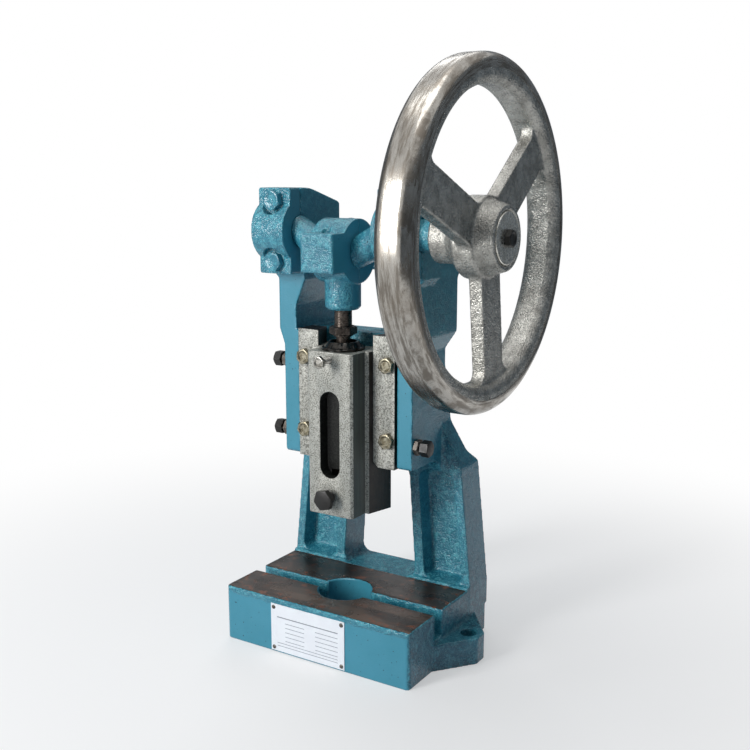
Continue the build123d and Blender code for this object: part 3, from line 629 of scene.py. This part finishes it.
steels = {
    name: small_steel(name, *recipe) for name, *recipe in (
        ("yellow_zinc", ((106, 99, 80), (150, 145, 128), (220, 216, 204)), 0.22, 0.85),
        # painted light: the washer's zinc is a brighter copy of the lock screw's
        ("washer_zinc", ((190, 188, 179), (222, 220, 213), (232, 230, 226)), 0.22, 0.92),
        ("bright_zinc", ((122, 120, 113), (168, 166, 160), (232, 230, 226)), 0.22, 0.92),
        ("worn_nut", ((78, 72, 66), (104, 98, 92), (200, 196, 186)), 0.36, 0.7),
        ("blackened_steel", ((7, 7, 7), (18, 17, 16), (110, 106, 102)), 0.34, 0.2),
        ("brown_steel", ((60, 53, 48), (84, 76, 70), (200, 196, 186)), 0.24, 0.8, 0.00003),
        ("oiled_black", ((40, 39, 38), (66, 63, 60), (160, 156, 150)), 0.12, 0.9, 0.00002),
    )
}
yellow_zinc, washer_zinc, bright_zinc, worn_nut, black_steel, brown_steel, oiled_black = steels.values()
print("fastener finishes:", list(steels))

# %% [markdown]
# ## Nameplate
# A white lacquered aluminium plate. Its lines are drawn in the material from Object coordinates, as an
# empty form: a heavier line under the heading, two columns of ruled rows and two closing lines. A line
# is a narrow band around a height, cut to its own length.


# %% Nameplate finish
def plate_lacquer(name):
    """White lacquer with a ruled form in grey ink."""
    material, shader = new_material(name)
    x, _, z = coordinates()
    left, right = plate_low.x + 7 * MM, plate_high.x - 7 * MM
    bottom, top = plate_low.z + 5 * MM, plate_high.z - 5 * MM
    middle = (left + right) / 2
    lines = [(top - 7 * MM, left, right, 0.9 * MM)]
    for row in range(5):
        height = top - 12 * MM - row * 4.3 * MM
        lines += [(height, left + 9 * MM, middle - 3 * MM, 0.5 * MM), (height, middle + 9 * MM, right, 0.5 * MM)]
    lines += [(bottom + 0.5 * MM + row * 2.9 * MM, left, right, 0.5 * MM) for row in range(2)]
    ink = combined("MAXIMUM", *(
        times(between(z, at - width / 2, at + width / 2, 0.00012), between(x, low, high, 0.00006))
        for at, low, high, width in lines
    ))
    white = mix_colour(patches(0.01, 4, 0.35, 0.7), srgb(247, 246, 248), srgb(252, 252, 253))
    worn = patches(0.0012, 3, 0.2, 0.4, 0.85, 1.0)
    colour = tint(white, ink, worn, srgb(132, 134, 142))
    gloss = patches(0.006, 3, 0.3, 0.7, 0.30, 0.44)
    finish_surface(shader, colour, gloss, noise(0.0008, 2), 0.00004)
    return material


plate_white = plate_lacquer("plate_white")
print("plate:", plate_white.name)

# %% [markdown]
# ## From a solid to a casting
# A sand casting has no sharp edge outside and no sharp corner inside. A bevel would round the edges,
# but fails where many faces meet, as under the bearings. So a copy of the solid is remeshed into even
# small squares, laid back on the solid's planes and smoothed, which rounds its edges by about a square.
# Inner corners need more, because molten iron can't flow into a sharp one: there each point in a hollow
# is lifted towards the middle of its neighbours, again and again, until a fillet has grown. A milled or
# ground part keeps its planes, so its copy only gets narrow bevels.


# %% Copies of the solids
def linked(name, data):
    """A new object in the scene."""
    piece = bpy.data.objects.new(name, data)
    bpy.context.collection.objects.link(piece)
    return piece


def mesh_of(name, points, faces):
    """A new mesh from points and faces."""
    mesh = bpy.data.meshes.new(name)
    mesh.from_pydata(points, [], faces)
    return mesh


def merged_shell(mesh, reach=0.000002):
    """A mesh opened for editing, with the points that coincide joined."""
    shell = bmesh.new()
    shell.from_mesh(mesh)
    bmesh.ops.remove_doubles(shell, verts=shell.verts, dist=reach)
    return shell


def merged_copy(node):
    """A copy of a solid's mesh with its loose triangles joined."""
    mesh = frame["nodes"][node].data.copy()
    mesh.materials.clear()
    shell = merged_shell(mesh)
    bmesh.ops.dissolve_limit(shell, angle_limit=radians(0.4), verts=shell.verts, edges=shell.edges)
    shell.to_mesh(mesh)
    shell.free()
    return linked(node + "_look", mesh)


def apply_modifiers(piece):
    """Turns an object with modifiers into a plain mesh."""
    evaluated = piece.evaluated_get(bpy.context.evaluated_depsgraph_get())
    mesh = bpy.data.meshes.new_from_object(evaluated)
    piece.modifiers.clear()
    piece.data = mesh
    return piece


def dress(piece, node, material, angle=35):
    """Gives a piece its finish, its body and the node that it stands for."""
    piece.data.materials.clear()
    piece.data.materials.append(material)
    piece.data.shade_smooth()
    piece.data.set_sharp_from_angle(angle=radians(angle))
    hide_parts(node)
    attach(piece, body_of_node[node])
    triangles = sum(len(face.vertices) - 2 for face in piece.data.polygons)
    print(piece.name, triangles, "triangles")
    return piece


# %% Fillets that grow in hollows
def read_points(mesh, kind="co"):
    """Places or normals of a mesh's points, one to a row."""
    values = np.empty(3 * len(mesh.vertices), dtype=np.float32)
    mesh.vertices.foreach_get(kind, values)
    return values.reshape(-1, 3)


def move_points(mesh, points):
    """Puts a mesh's points at new places."""
    mesh.vertices.foreach_set("co", points.astype(np.float32).ravel())
    mesh.update()


def grow_fillets(mesh, rounds, wanted=None, least=0.05 * MM):
    """Lifts points in hollows, everywhere or where `wanted` says so; `least` keeps flat faces still."""
    count = len(mesh.vertices)
    points = read_points(mesh).astype(np.float64)
    ends = np.empty(2 * len(mesh.edges), dtype=np.int32)
    mesh.edges.foreach_get("vertices", ends)
    first, second = ends.reshape(-1, 2).T
    neighbours = np.bincount(first, minlength=count) + np.bincount(second, minlength=count)
    chosen = wanted(points) if wanted else np.ones(count)
    for step in range(rounds):
        if step % 6 == 0:
            move_points(mesh, points)
            outward = read_points(mesh, "normal")
        middle = np.stack([
            (np.bincount(first, points[second, axis], count) + np.bincount(second, points[first, axis], count))
            / neighbours for axis in range(3)
        ], axis=1)
        rise = ((middle - points) * outward).sum(axis=1)
        points += (np.clip(rise - least, 0, None) * chosen)[:, None] * outward
    move_points(mesh, points)


def cast_piece(node, material, square, rounds=1, fillets=0, wanted=None, keep=1.0):
    """A remeshed copy with rounded edges, grown fillets and, for the largest, fewer triangles."""
    piece = merged_copy(node)
    steps = piece.modifiers
    put(steps.new("even_squares", "REMESH"), mode="VOXEL", voxel_size=square)
    put(steps.new("back_on_the_planes", "SHRINKWRAP"), target=frame["nodes"][node])
    put(steps.new("melt_edges", "SMOOTH"), iterations=rounds, factor=0.5)
    apply_modifiers(piece)
    if fillets:
        grow_fillets(piece.data, fillets, wanted)
    if keep < 1.0:
        put(steps.new("fewer_triangles", "DECIMATE"), ratio=keep)
        put(steps.new("flat_faces_lead", "WEIGHTED_NORMAL"), weight=80)
        apply_modifiers(piece)
    return dress(piece, node, material, 60)


def machined_piece(node, material, width, steps=2):
    """A copy with its planes kept and its edges broken by a narrow bevel."""
    piece = merged_copy(node)
    put(piece.modifiers.new("broken_edges", "BEVEL"), width=width, segments=steps, limit_method="ANGLE",
        angle_limit=radians(32), use_clamp_overlap=False, miter_outer="MITER_ARC")
    apply_modifiers(piece)
    return dress(piece, node, material)


# %% [markdown]
# ## Castings
# The frame is large, so its squares are 1.1 mm and its triangles are thinned out where it is flat. Its
# fillets grow around the legs, their pockets and the back of the table. The faces that the slide, the
# shaft and the die meet were cut after casting, so nothing may grow there.


# %% The frame, the caps, the rod and the crank
def frame_hollows(points):
    """True around the legs and on the outside of the housing and pedestals, away from machined faces."""
    x, y, z = np.abs(points[:, 0]), points[:, 1], points[:, 2]
    legs = (y > 50 * MM) & (z > 49 * MM) & (z < 176 * MM)
    outside = (x > 60 * MM) & (z > 165 * MM) & (z < 345 * MM) & (y > 5 * MM)
    bridge = (y > 32 * MM) & (z > 300 * MM)
    lugs = (x > 92 * MM) & (z < 49 * MM) & (y > 8 * MM)
    return legs | outside | bridge | lugs


cast_piece("frame_casting", frame_enamel, 1.1 * MM, 3, 50, frame_hollows, keep=0.35)
for node in ("left_bearing_cap", "right_bearing_cap", "connecting_rod_cap", "connecting_rod"):
    cast_piece(node, part_enamel, 0.8 * MM, 2)
cast_piece("crankshaft", part_enamel, 0.9 * MM, 2)


# %% [markdown]
# ### The hand wheel
# The casting's rim is remeshed like the other castings. Its outer half was turned on a lathe, so a smooth
# band is laid over it: half of the rim's own section, carried round the shaft. The casting is drawn in a
# little under the band, so that only one surface shows. The section is a rounded rectangle, and its
# corner arcs and the two straights between them are written as points across and out from the shaft.


# %% Hand wheel
def draw_in_rim(mesh):
    """Moves the outer half of the casting's rim inwards, so that it lies under the turned band."""
    points, normals = read_points(mesh), read_points(mesh, "normal")
    outer = np.hypot(points[:, 1], points[:, 2] - SHAFT_HEIGHT) > RIM_RADIUS + 0.2 * MM
    points[outer] -= normals[outer] * 0.5 * MM
    move_points(mesh, points)


def ring_faces(rings, size, closed):
    """Faces between neighbouring rings of points; closed ones join the last ring to the first."""
    faces = []
    for ring in range(rings if closed else rings - 1):
        here, there = ring * size, (ring + 1) % rings * size
        for i in range(size):
            after = (i + 1) % size
            faces.append((here + i, here + after, there + after, there + i))
    return faces


def turned_outwards(mesh):
    """Joins points that coincide and turns every face outwards."""
    shell = merged_shell(mesh, 0.000001)
    bmesh.ops.recalc_face_normals(shell, faces=shell.faces)
    shell.to_mesh(mesh)
    shell.free()
    return mesh


def turned_band(node, material):
    """The polished half of the rim: a closed section of 60 points carried round in 288 steps."""
    half_width, half_height, corner, wall, steps = 15.8 * MM, 12.4 * MM, 10 * MM, 1.6 * MM, 288

    def outline(shrink):
        radius = corner - shrink
        points = [(half_width - shrink, 0.0)]
        for angle in (step * pi / 24 for step in range(13)):
            points.append((half_width - corner + radius * cos(angle), half_height - corner + radius * sin(angle)))
        return points + [(-across, out) for across, out in reversed(points)]

    section = outline(0.0) + list(reversed(outline(wall)))
    vertices = [
        (RIM_MIDDLE_X + across, (RIM_RADIUS + out) * cos(turn * tau / steps),
         SHAFT_HEIGHT + (RIM_RADIUS + out) * sin(turn * tau / steps))
        for turn in range(steps) for across, out in section
    ]
    mesh = mesh_of("rim_band", vertices, ring_faces(steps, len(section), True))
    return dress(linked("rim_band", turned_outwards(mesh)), node, material, 40)


wheel = cast_piece("handwheel", wheel_silver, 1.15 * MM, 2, 20, keep=0.8)
draw_in_rim(wheel.data)
turned_band("handwheel", rim_steel)

# %% [markdown]
# ## Slide, gibs and turned parts
# These are milled or turned, so they keep their planes and get fine bevels.

# %% Slide, gibs and turned parts
for node, material, width in (
    ("slide", slide_grey, 0.5 * MM), ("left_gib", gib_grey, 0.4 * MM), ("right_gib", gib_grey, 0.4 * MM),
    ("wheel_washer", washer_zinc, 0.3 * MM), ("wheel_key", black_steel, 0.2 * MM),
):
    machined_piece(node, material, width)
machined_piece("nameplate", plate_white, 0.1 * MM, 1)

# %% [markdown]
# ### Shapes with a changing radius
# Nuts, bolt heads and threads are all turned shapes whose radius changes with the angle: a hexagon cut
# by a cone, a ring with notches, a shank with a thread. So one function builds them from rings. Each
# ring has a height and a radius, which may be a function of the angle.


# %% Rings, hexagons and threads
RING_POINTS = 72


def hexagon_radius(flats, turn=0.0):
    """Radius of a hexagon at an angle, as a function."""
    def radius(angle):
        return flats / 2 / cos((angle + turn) % (pi / 3) - pi / 6)
    return radius


def within(radius, limit):
    """The smaller of a hexagon's radius and a cone's."""
    return lambda angle: min(radius(angle), limit)


def thread_rings(radius, start, end, pitch, depth):
    """Rings of a screw thread between two heights, six to a turn."""
    count = max(2, round(abs(end - start) / pitch * 6))

    def ridge(height):
        return lambda angle: radius - depth * abs(2 * ((height / pitch + angle / tau) % 1) - 1)
    heights = [start + (end - start) * i / count for i in range(count + 1)]
    return [(height, ridge(height)) for height in heights]


def stacked(base, *rings):
    """Rings in millimetres above a base; a radius may also be a function, which gives metres."""
    return [(base + height * MM, radius if callable(radius) else radius * MM) for height, radius in rings]


def ring_mesh(name, rings, capped=True):
    """A closed mesh through rings of (height, radius); rings that aren't capped join end to end."""
    vertices = []
    for height, radius in rings:
        for angle in (i * tau / RING_POINTS for i in range(RING_POINTS)):
            reach = radius(angle) if callable(radius) else radius
            vertices.append((reach * cos(angle), reach * sin(angle), height))
    faces = ring_faces(len(rings), RING_POINTS, not capped)
    if capped:
        for ring in (0, len(rings) - 1):
            vertices.append((0, 0, rings[ring][0]))
            faces += [
                (ring * RING_POINTS + i, ring * RING_POINTS + (i + 1) % RING_POINTS, len(vertices) - 1)
                for i in range(RING_POINTS)
            ]
    return turned_outwards(mesh_of(name, vertices, faces))


def head_rings(flats, height, dish):
    """Rings of a bolt head: straight flats, a cone that cuts the corners, and a round dish on top."""
    corner = flats / 2 / cos(pi / 6)
    hexagon = hexagon_radius(flats)
    cone_height = (corner - flats * 0.48) * 0.42
    rings = [(0.0, flats * 0.475), (0.15 * MM, flats * 0.475), (0.15 * MM, hexagon)]
    for share in (0.0, 0.25, 0.5, 0.75, 1.0):
        limit = corner - (corner - flats * 0.48) * share
        rings.append((height - cone_height * (1 - share), within(hexagon, limit)))
    if dish:
        rings += [(height, flats * 0.40), (height - dish, flats * 0.30), (height - dish, flats * 0.12)]
    return rings


# %% [markdown]
# ### Rows of bolts by Geometry Nodes
# A row repeats one bolt at several seats. The seats come from the solids: each bolt of a node is an
# island of its mesh, and the island's head tells where the seat is and how large the head. The tree puts
# an instance of the bolt on every seat point, turns it to face the row's way, gives each its own small
# twist from a fixed seed, as hand-tightened bolts have, and makes the result real.


# %% The tree that sets a row of bolts
def bolt_row_tree():
    """Geometry Nodes: a bolt on each point, facing one way, each with its own twist."""
    start(bpy.data.node_groups.new("bolt_row", "GeometryNodeTree"))
    kinds = {"Seats": "Geometry", "Bolt": "Object", "Facing": "Rotation", "Most Twist": "Float", "Seed": "Int",
             "Finish": "Material"}
    for label, kind in kinds.items():
        tree.interface.new_socket(label, in_out="INPUT", socket_type="NodeSocket" + kind)
    tree.interface.new_socket("Row", in_out="OUTPUT", socket_type="NodeSocketGeometry")
    given = tree.nodes.new("NodeGroupInput").outputs
    bolt = add_node("GeometryNodeObjectInfo", {"Object": given["Bolt"]}).outputs["Geometry"]
    twist = add_node(
        "FunctionNodeRandomValue",
        {"ID": tree.nodes.new("GeometryNodeInputIndex").outputs[0], "Seed": given["Seed"]}, data_type="FLOAT",
    )
    for socket in twist.inputs:
        if socket.name == "Max" and socket.type == "VALUE":
            tree.links.new(given["Most Twist"], socket)
    spin = add_node("ShaderNodeCombineXYZ", {"Z": twist.outputs[1]}).outputs[0]
    turned = add_node(
        "FunctionNodeRotateRotation", {"Rotation": given["Facing"], "Rotate By": spin}, rotation_space="LOCAL"
    ).outputs[0]
    placed = add_node(
        "GeometryNodeInstanceOnPoints", {"Points": given["Seats"], "Instance": bolt, "Rotation": turned}
    ).outputs[0]
    real = add_node("GeometryNodeRealizeInstances", {0: placed}).outputs[0]
    finished = add_node("GeometryNodeSetMaterial", {"Geometry": real, "Material": given["Finish"]}).outputs[0]
    tree.links.new(finished, tree.nodes.new("NodeGroupOutput").inputs["Row"])
    return tree


bolt_rows = bolt_row_tree()
print("bolt row inputs:", [item.name for item in bolt_rows.interface.items_tree])


# %% Seats from the solids
def islands(node):
    """The separate shells of a solid's mesh, each as an array of points."""
    shell = merged_shell(frame["nodes"][node].data)
    left, found = set(shell.verts), []
    while left:
        group, reached = set(), [left.pop()]
        while reached:
            vertex = reached.pop()
            group.add(vertex)
            beside = {edge.other_vert(vertex) for edge in vertex.link_edges} & left
            left -= beside
            reached += beside
        found.append(np.array([vertex.co[:] for vertex in group]))
    shell.free()
    return sorted(found, key=lambda points: tuple(points.mean(axis=0).round(5)))


def seats(node, axis, sign):
    """Seat point, head height, head corner radius and shank length of each bolt of a node."""
    found = []
    for points in islands(node):
        middle = (points.min(axis=0) + points.max(axis=0)) / 2
        radius = np.delete(points - middle, axis, axis=1)
        radius = np.hypot(radius[:, 0], radius[:, 1])
        along = points[:, axis] * sign
        head = along[radius > radius.max() * 0.97]
        seat = middle.copy()
        seat[axis] = head.min() * sign
        found.append((seat, head.max() - head.min(), radius.max(), head.min() - along.min()))
    return found


# %% Rows
FACING = {(1, -1): (pi / 2, 0, 0), (1, 1): (-pi / 2, 0, 0), (0, 1): (0, pi / 2, 0), (0, -1): (0, -pi / 2, 0)}


def bolt_row(node, axis, sign, make_bolt, material, twist, seed):
    """Replaces a node's fasteners by detailed ones at the same seats."""
    found = seats(node, axis, sign)
    _, head, corner, shank = found[0]
    bolt = bpy.data.objects.new("bolt_pattern", make_bolt(head, corner * 2 * cos(pi / 6), shank))
    piece = linked(node + "_look", mesh_of(node + "_seats", [tuple(seat) for seat, *_ in found], []))
    row = put(piece.modifiers.new("bolt_row", "NODES"), node_group=bolt_rows)
    values = {"Bolt": bolt, "Facing": FACING[(axis, sign)], "Most Twist": twist, "Seed": seed, "Finish": material}
    for item in bolt_rows.interface.items_tree:
        if item.in_out == "INPUT" and item.name in values:
            row[item.identifier] = values[item.name]
    apply_modifiers(piece)
    bpy.data.objects.remove(bolt)
    return dress(piece, node, material, 28)


def hex_bolt(dish, thread=0.0, pitch=1.25 * MM):
    """A maker of hex bolts: a head with an optional dish, and a shank threaded for a length."""
    def make(head, flats, shank):
        radius = flats * 0.305
        rings = [(-shank, radius * 0.85), (-shank + 0.6 * MM, radius * 0.96)]
        if thread:
            rings += thread_rings(radius, -min(thread, shank - MM), 0.0, pitch, 0.55 * pitch)
        return ring_mesh("hex_bolt", rings + [(0.0, radius * 0.96)] + head_rings(flats, head, dish))
    return make


def hex_nut(head, flats, _):
    """A nut: a hexagon chamfered on both sides, with a bore."""
    corner = flats / 2 / cos(pi / 6)
    hexagon, bore = hexagon_radius(flats), flats * 0.31
    blunt = within(hexagon, flats * 0.47)
    cone = (corner - flats * 0.47) * 0.5
    rings = [(0.0, bore), (0.0, blunt), (cone, hexagon), (head - cone, hexagon), (head, blunt),
             (head, flats * 0.36), (head - 0.5 * MM, bore)]
    return ring_mesh("hex_nut", rings, capped=False)


def domed_rivet(head, width, shank):
    """A rivet with a low domed head."""
    radius = width / 2 / cos(pi / 6)
    dome = [(head * sin(a * pi / 12), radius * cos(a * pi / 12)) for a in range(6)]
    return ring_mesh("domed_rivet", [(-shank, radius * 0.5), (0.0, radius * 0.5)] + dome)


flat_bolt, cap_bolt = hex_bolt(0.0, 12 * MM), hex_bolt(0.5 * MM)
gib_bolt, rod_bolt, hub_bolt = hex_bolt(1.1 * MM), hex_bolt(0.8 * MM), hex_bolt(0.7 * MM)
for node, axis, sign, make_bolt, material, twist, seed in (
    ("left_cap_bolts", 1, -1, cap_bolt, bolt_enamel, 1.0, 3),
    ("right_cap_bolts", 1, -1, cap_bolt, bolt_enamel, 1.0, 5),
    ("left_gib_bolts", 1, -1, gib_bolt, yellow_zinc, 1.0, 2),
    ("right_gib_bolts", 1, -1, gib_bolt, yellow_zinc, 1.0, 8),
    ("rod_cap_bolts", 1, 1, rod_bolt, black_steel, 1.0, 4),
    ("left_side_set_screws", 0, -1, flat_bolt, black_steel, 1.0, 6),
    ("right_side_set_screws", 0, 1, flat_bolt, black_steel, 1.0, 7),
    ("left_side_lock_nuts", 0, -1, hex_nut, worn_nut, 1.0, 9),
    ("right_side_lock_nuts", 0, 1, hex_nut, worn_nut, 1.0, 10),
    ("wheel_bolt", 0, 1, hub_bolt, black_steel, 0.4, 11),
    ("punch_clamp_bolt", 1, -1, hex_bolt(0.0, 12 * MM, 1.5 * MM), black_steel, 0.3, 12),
    ("retaining_nut_lock_screw", 1, -1, hex_bolt(0.8 * MM, 14 * MM, 1.0 * MM), bright_zinc, 0.6, 13),
    ("nameplate_rivets", 1, -1, domed_rivet, worn_nut, 1.0, 1),
):
    bolt_row(node, axis, sign, make_bolt, material, twist, seed)

# %% [markdown]
# ### The ball screw and its nuts
# A screw with a ball at its foot hangs in the rod and carries the slide. Its thread is fine, its lock
# nut is a plain hexagon, and the nut that holds the ball down in the slide has a notched flange for a
# hook spanner. All three are turned parts, so they are rings as well, stacked from the bottom up.

# %% Ball screw, lock nut and retaining nut
screw_low, screw_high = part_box("ball_screw")
nut_low, nut_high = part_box("ball_screw_lock_nut")
retainer_low, retainer_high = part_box("ball_retaining_nut")
BALL_MIDDLE = screw_low.z + 13 * MM


def standing_piece(node, rings, material, capped=True):
    """A piece built from rings around the punch's own axis."""
    return dress(linked(node + "_look", ring_mesh(node, rings, capped)), node, material, 32)


last_angle = pi - asin(6.3 / 13)
screw_rings = [
    (BALL_MIDDLE - 13 * MM * cos(share * last_angle), 13 * MM * sin(share * last_angle))
    for share in np.linspace(0.02, 1.0, 18)
]
screw_rings += stacked(nut_low.z, (-1.5, 6.3), (-1.5, 8.3), (-1.2, 8.6), (-0.3, 8.6), (0, 8.0))
screw_rings += thread_rings(8 * MM, nut_low.z, nut_low.z + 24 * MM, 1.5 * MM, 0.3 * MM)
screw_rings += stacked(screw_high.z, (-1, 7.8), (0, 7))
standing_piece("ball_screw", screw_rings, brown_steel)
print("ball screw from", round(screw_low.z, 4), "to", round(screw_high.z, 4), "nut at", round(nut_low.z, 4))

NUT_FLATS = 22 * MM
hexagon = hexagon_radius(NUT_FLATS, 0.5)
blunt = within(hexagon, NUT_FLATS / 2 * 0.94)
nut_rings = stacked(nut_low.z, (0, 8.1), (0, blunt), (0.9, hexagon))
nut_rings += stacked(nut_high.z, (-0.9, hexagon), (0, blunt), (0, 8.8), (-0.6, 8.1))
standing_piece("ball_screw_lock_nut", nut_rings, brown_steel, capped=False)


def notched(radius, depth):
    """A flange's radius with four notches for a hook spanner."""
    return lambda angle: radius - depth * ((angle + 0.35) % (pi / 2) < 0.26)


flange = retainer_high.z - 7.5 * MM
SOCKET_RADIUS = 17 * MM
edge, broken_edge = notched(19.6 * MM, 1.8 * MM), notched(19.2 * MM, 1.6 * MM)
retainer_rings = [
    (height, (SOCKET_RADIUS ** 2 - (height - BALL_MIDDLE) ** 2) ** 0.5)
    for height in np.linspace(BALL_MIDDLE + 11.7 * MM, retainer_low.z, 7)
]
retainer_rings += stacked(retainer_low.z, (0, 18.5))
retainer_rings += stacked(flange, (0.02, 18.5), (0.02, broken_edge), (0.4, edge), (2.1, edge), (2.5, broken_edge),
                          (2.9, 17.4))
retainer_rings += stacked(retainer_high.z, (-0.5, 14.2), (0, 13.7), (0, 12.8), (-0.6, 12.3))
retainer_rings += stacked(flange, (0, 12.3))
standing_piece("ball_retaining_nut", retainer_rings, oiled_black, capped=False)

# %% [markdown]
# ## Floor, light and camera
# A product photograph is lit by a few large soft lamps over a white table. The floor is one large pale
# sheet. Near the press it is a plain lit surface that keeps the shadow. Further out the camera, mirrors
# and glass see it as pure white, while it sends little light back on the press, which keeps its sides deep.


# %% Floor
def seen_rays():
    """1 for what the camera, a mirror or glass sees."""
    rays = tree.nodes.new("ShaderNodeLightPath").outputs
    return combined("MAXIMUM", *(rays["Is " + kind + " Ray"] for kind in ("Camera", "Glossy", "Transmission")))


def studio_floor():
    """Pale floor that keeps the press's shadow and clears to white away from it."""
    material, shader = new_material("studio_floor")
    diffuse = tree.nodes.new("ShaderNodeLightPath").outputs["Is Diffuse Ray"]
    shade = mix_colour(diffuse, (0.86, 0.86, 0.86, 1), (0.38, 0.48, 0.57, 1))
    fill(shader.inputs["Base Color"], shade)
    shader.inputs["Roughness"].default_value = 0.8
    shader.inputs["Specular IOR Level"].default_value = 0.0
    cleared = ramp(length_of(object_place()), 0.22, 0.80, 0.45, 1.0)
    share = times(seen_rays(), cleared)
    glow = add_node("ShaderNodeEmission", {"Color": (1, 1, 1, 1), "Strength": 1.0}).outputs[0]
    mixed = add_node("ShaderNodeMixShader", {0: share, 1: shader.outputs[0], 2: glow}).outputs[0]
    fill(tree.nodes["Material Output"].inputs["Surface"], mixed)
    return material


def sheet(name, points, faces, material):
    """A flat stage piece."""
    stage = linked(name, mesh_of(name, points, faces))
    stage.data.materials.append(material)
    return stage


REACH = 12.0
corners = [(-REACH, -REACH, 0), (REACH, -REACH, 0), (REACH, REACH, 0), (-REACH, REACH, 0)]
sheet("floor", corners, [(0, 1, 2, 3)], studio_floor())


# %% [markdown]
# ### Dark cards
# Bare steel shows whatever stands around it, and in an all-white room it looks like white plastic. A
# photographer stands dark cards around it. Here one bent card goes round the press, with a gap where the
# main lamp shines in. Only reflections see it, so no camera and no shadow does.


# %% Dark card
def dark_card():
    """A bent card around the press, open towards the main lamp."""
    material, shader = new_material("dark_card")
    shader.inputs["Base Color"].default_value = (0.23, 0.245, 0.26, 1)
    shader.inputs["Roughness"].default_value = 0.9
    radius, height, first, last, steps = 1.2, 1.25, radians(-72), radians(205), 48
    points = []
    for angle in (first + (last - first) * step / steps for step in range(steps + 1)):
        points += [(radius * cos(angle), radius * sin(angle), level) for level in (0.001, height)]
    faces = [(2 * i, 2 * i + 2, 2 * i + 3, 2 * i + 1) for i in range(steps)]
    card = sheet("dark_card", points, faces, material)
    return put(card, visible_camera=False, visible_diffuse=False, visible_shadow=False)


dark_card()


# %% World and lamps
def soft_lamp(name, place, aim, width, height, power):
    """A rectangular soft lamp that looks at a point."""
    data = put(bpy.data.lights.new(name, "AREA"), shape="RECTANGLE", size=width, size_y=height, energy=power)
    turn = (Vector(aim) - Vector(place)).to_track_quat("-Z", "Y").to_euler()
    return put(linked(name, data), location=place, rotation_euler=turn)


middle = (0.0, 0.0, 0.25)
soft_lamp("key", (-0.72, -1.70, 0.82), middle, 0.5, 1.1, 31)
soft_lamp("top", (-0.1, -0.1, 1.9), middle, 1.0, 1.0, 11)
soft_lamp("rear", (-1.0, 1.6, 1.3), middle, 1.2, 1.2, 15)

world = put(bpy.data.worlds.new("studio"), use_nodes=True)
bpy.context.scene.world = world
start(world.node_tree).nodes.clear()
room = add_node("ShaderNodeBackground", {"Color": (0.62, 0.80, 1.0, 1), "Strength": 0.14}).outputs[0]
white = add_node("ShaderNodeBackground", {"Color": (1, 1, 1, 1), "Strength": 1.0}).outputs[0]
mixed = add_node("ShaderNodeMixShader", {0: seen_rays(), 1: room, 2: white}).outputs[0]
add_node("ShaderNodeOutputWorld", {"Surface": mixed})

# %% [markdown]
# The camera stands where the photograph was taken: right of the press, a little above it, with a
# normal lens. Its place was found by fitting the picture's straight edges.

# %% Camera
lens = put(bpy.data.cameras.new("camera"), lens=49.13, sensor_width=36)
camera = put(linked("camera", lens), location=(0.50317, -0.74987, 0.43577))
camera.rotation_euler = (radians(90 - 11.22), 0, radians(32.07))
bpy.context.scene.camera = camera
bpy.context.scene.view_settings.view_transform = "Standard"
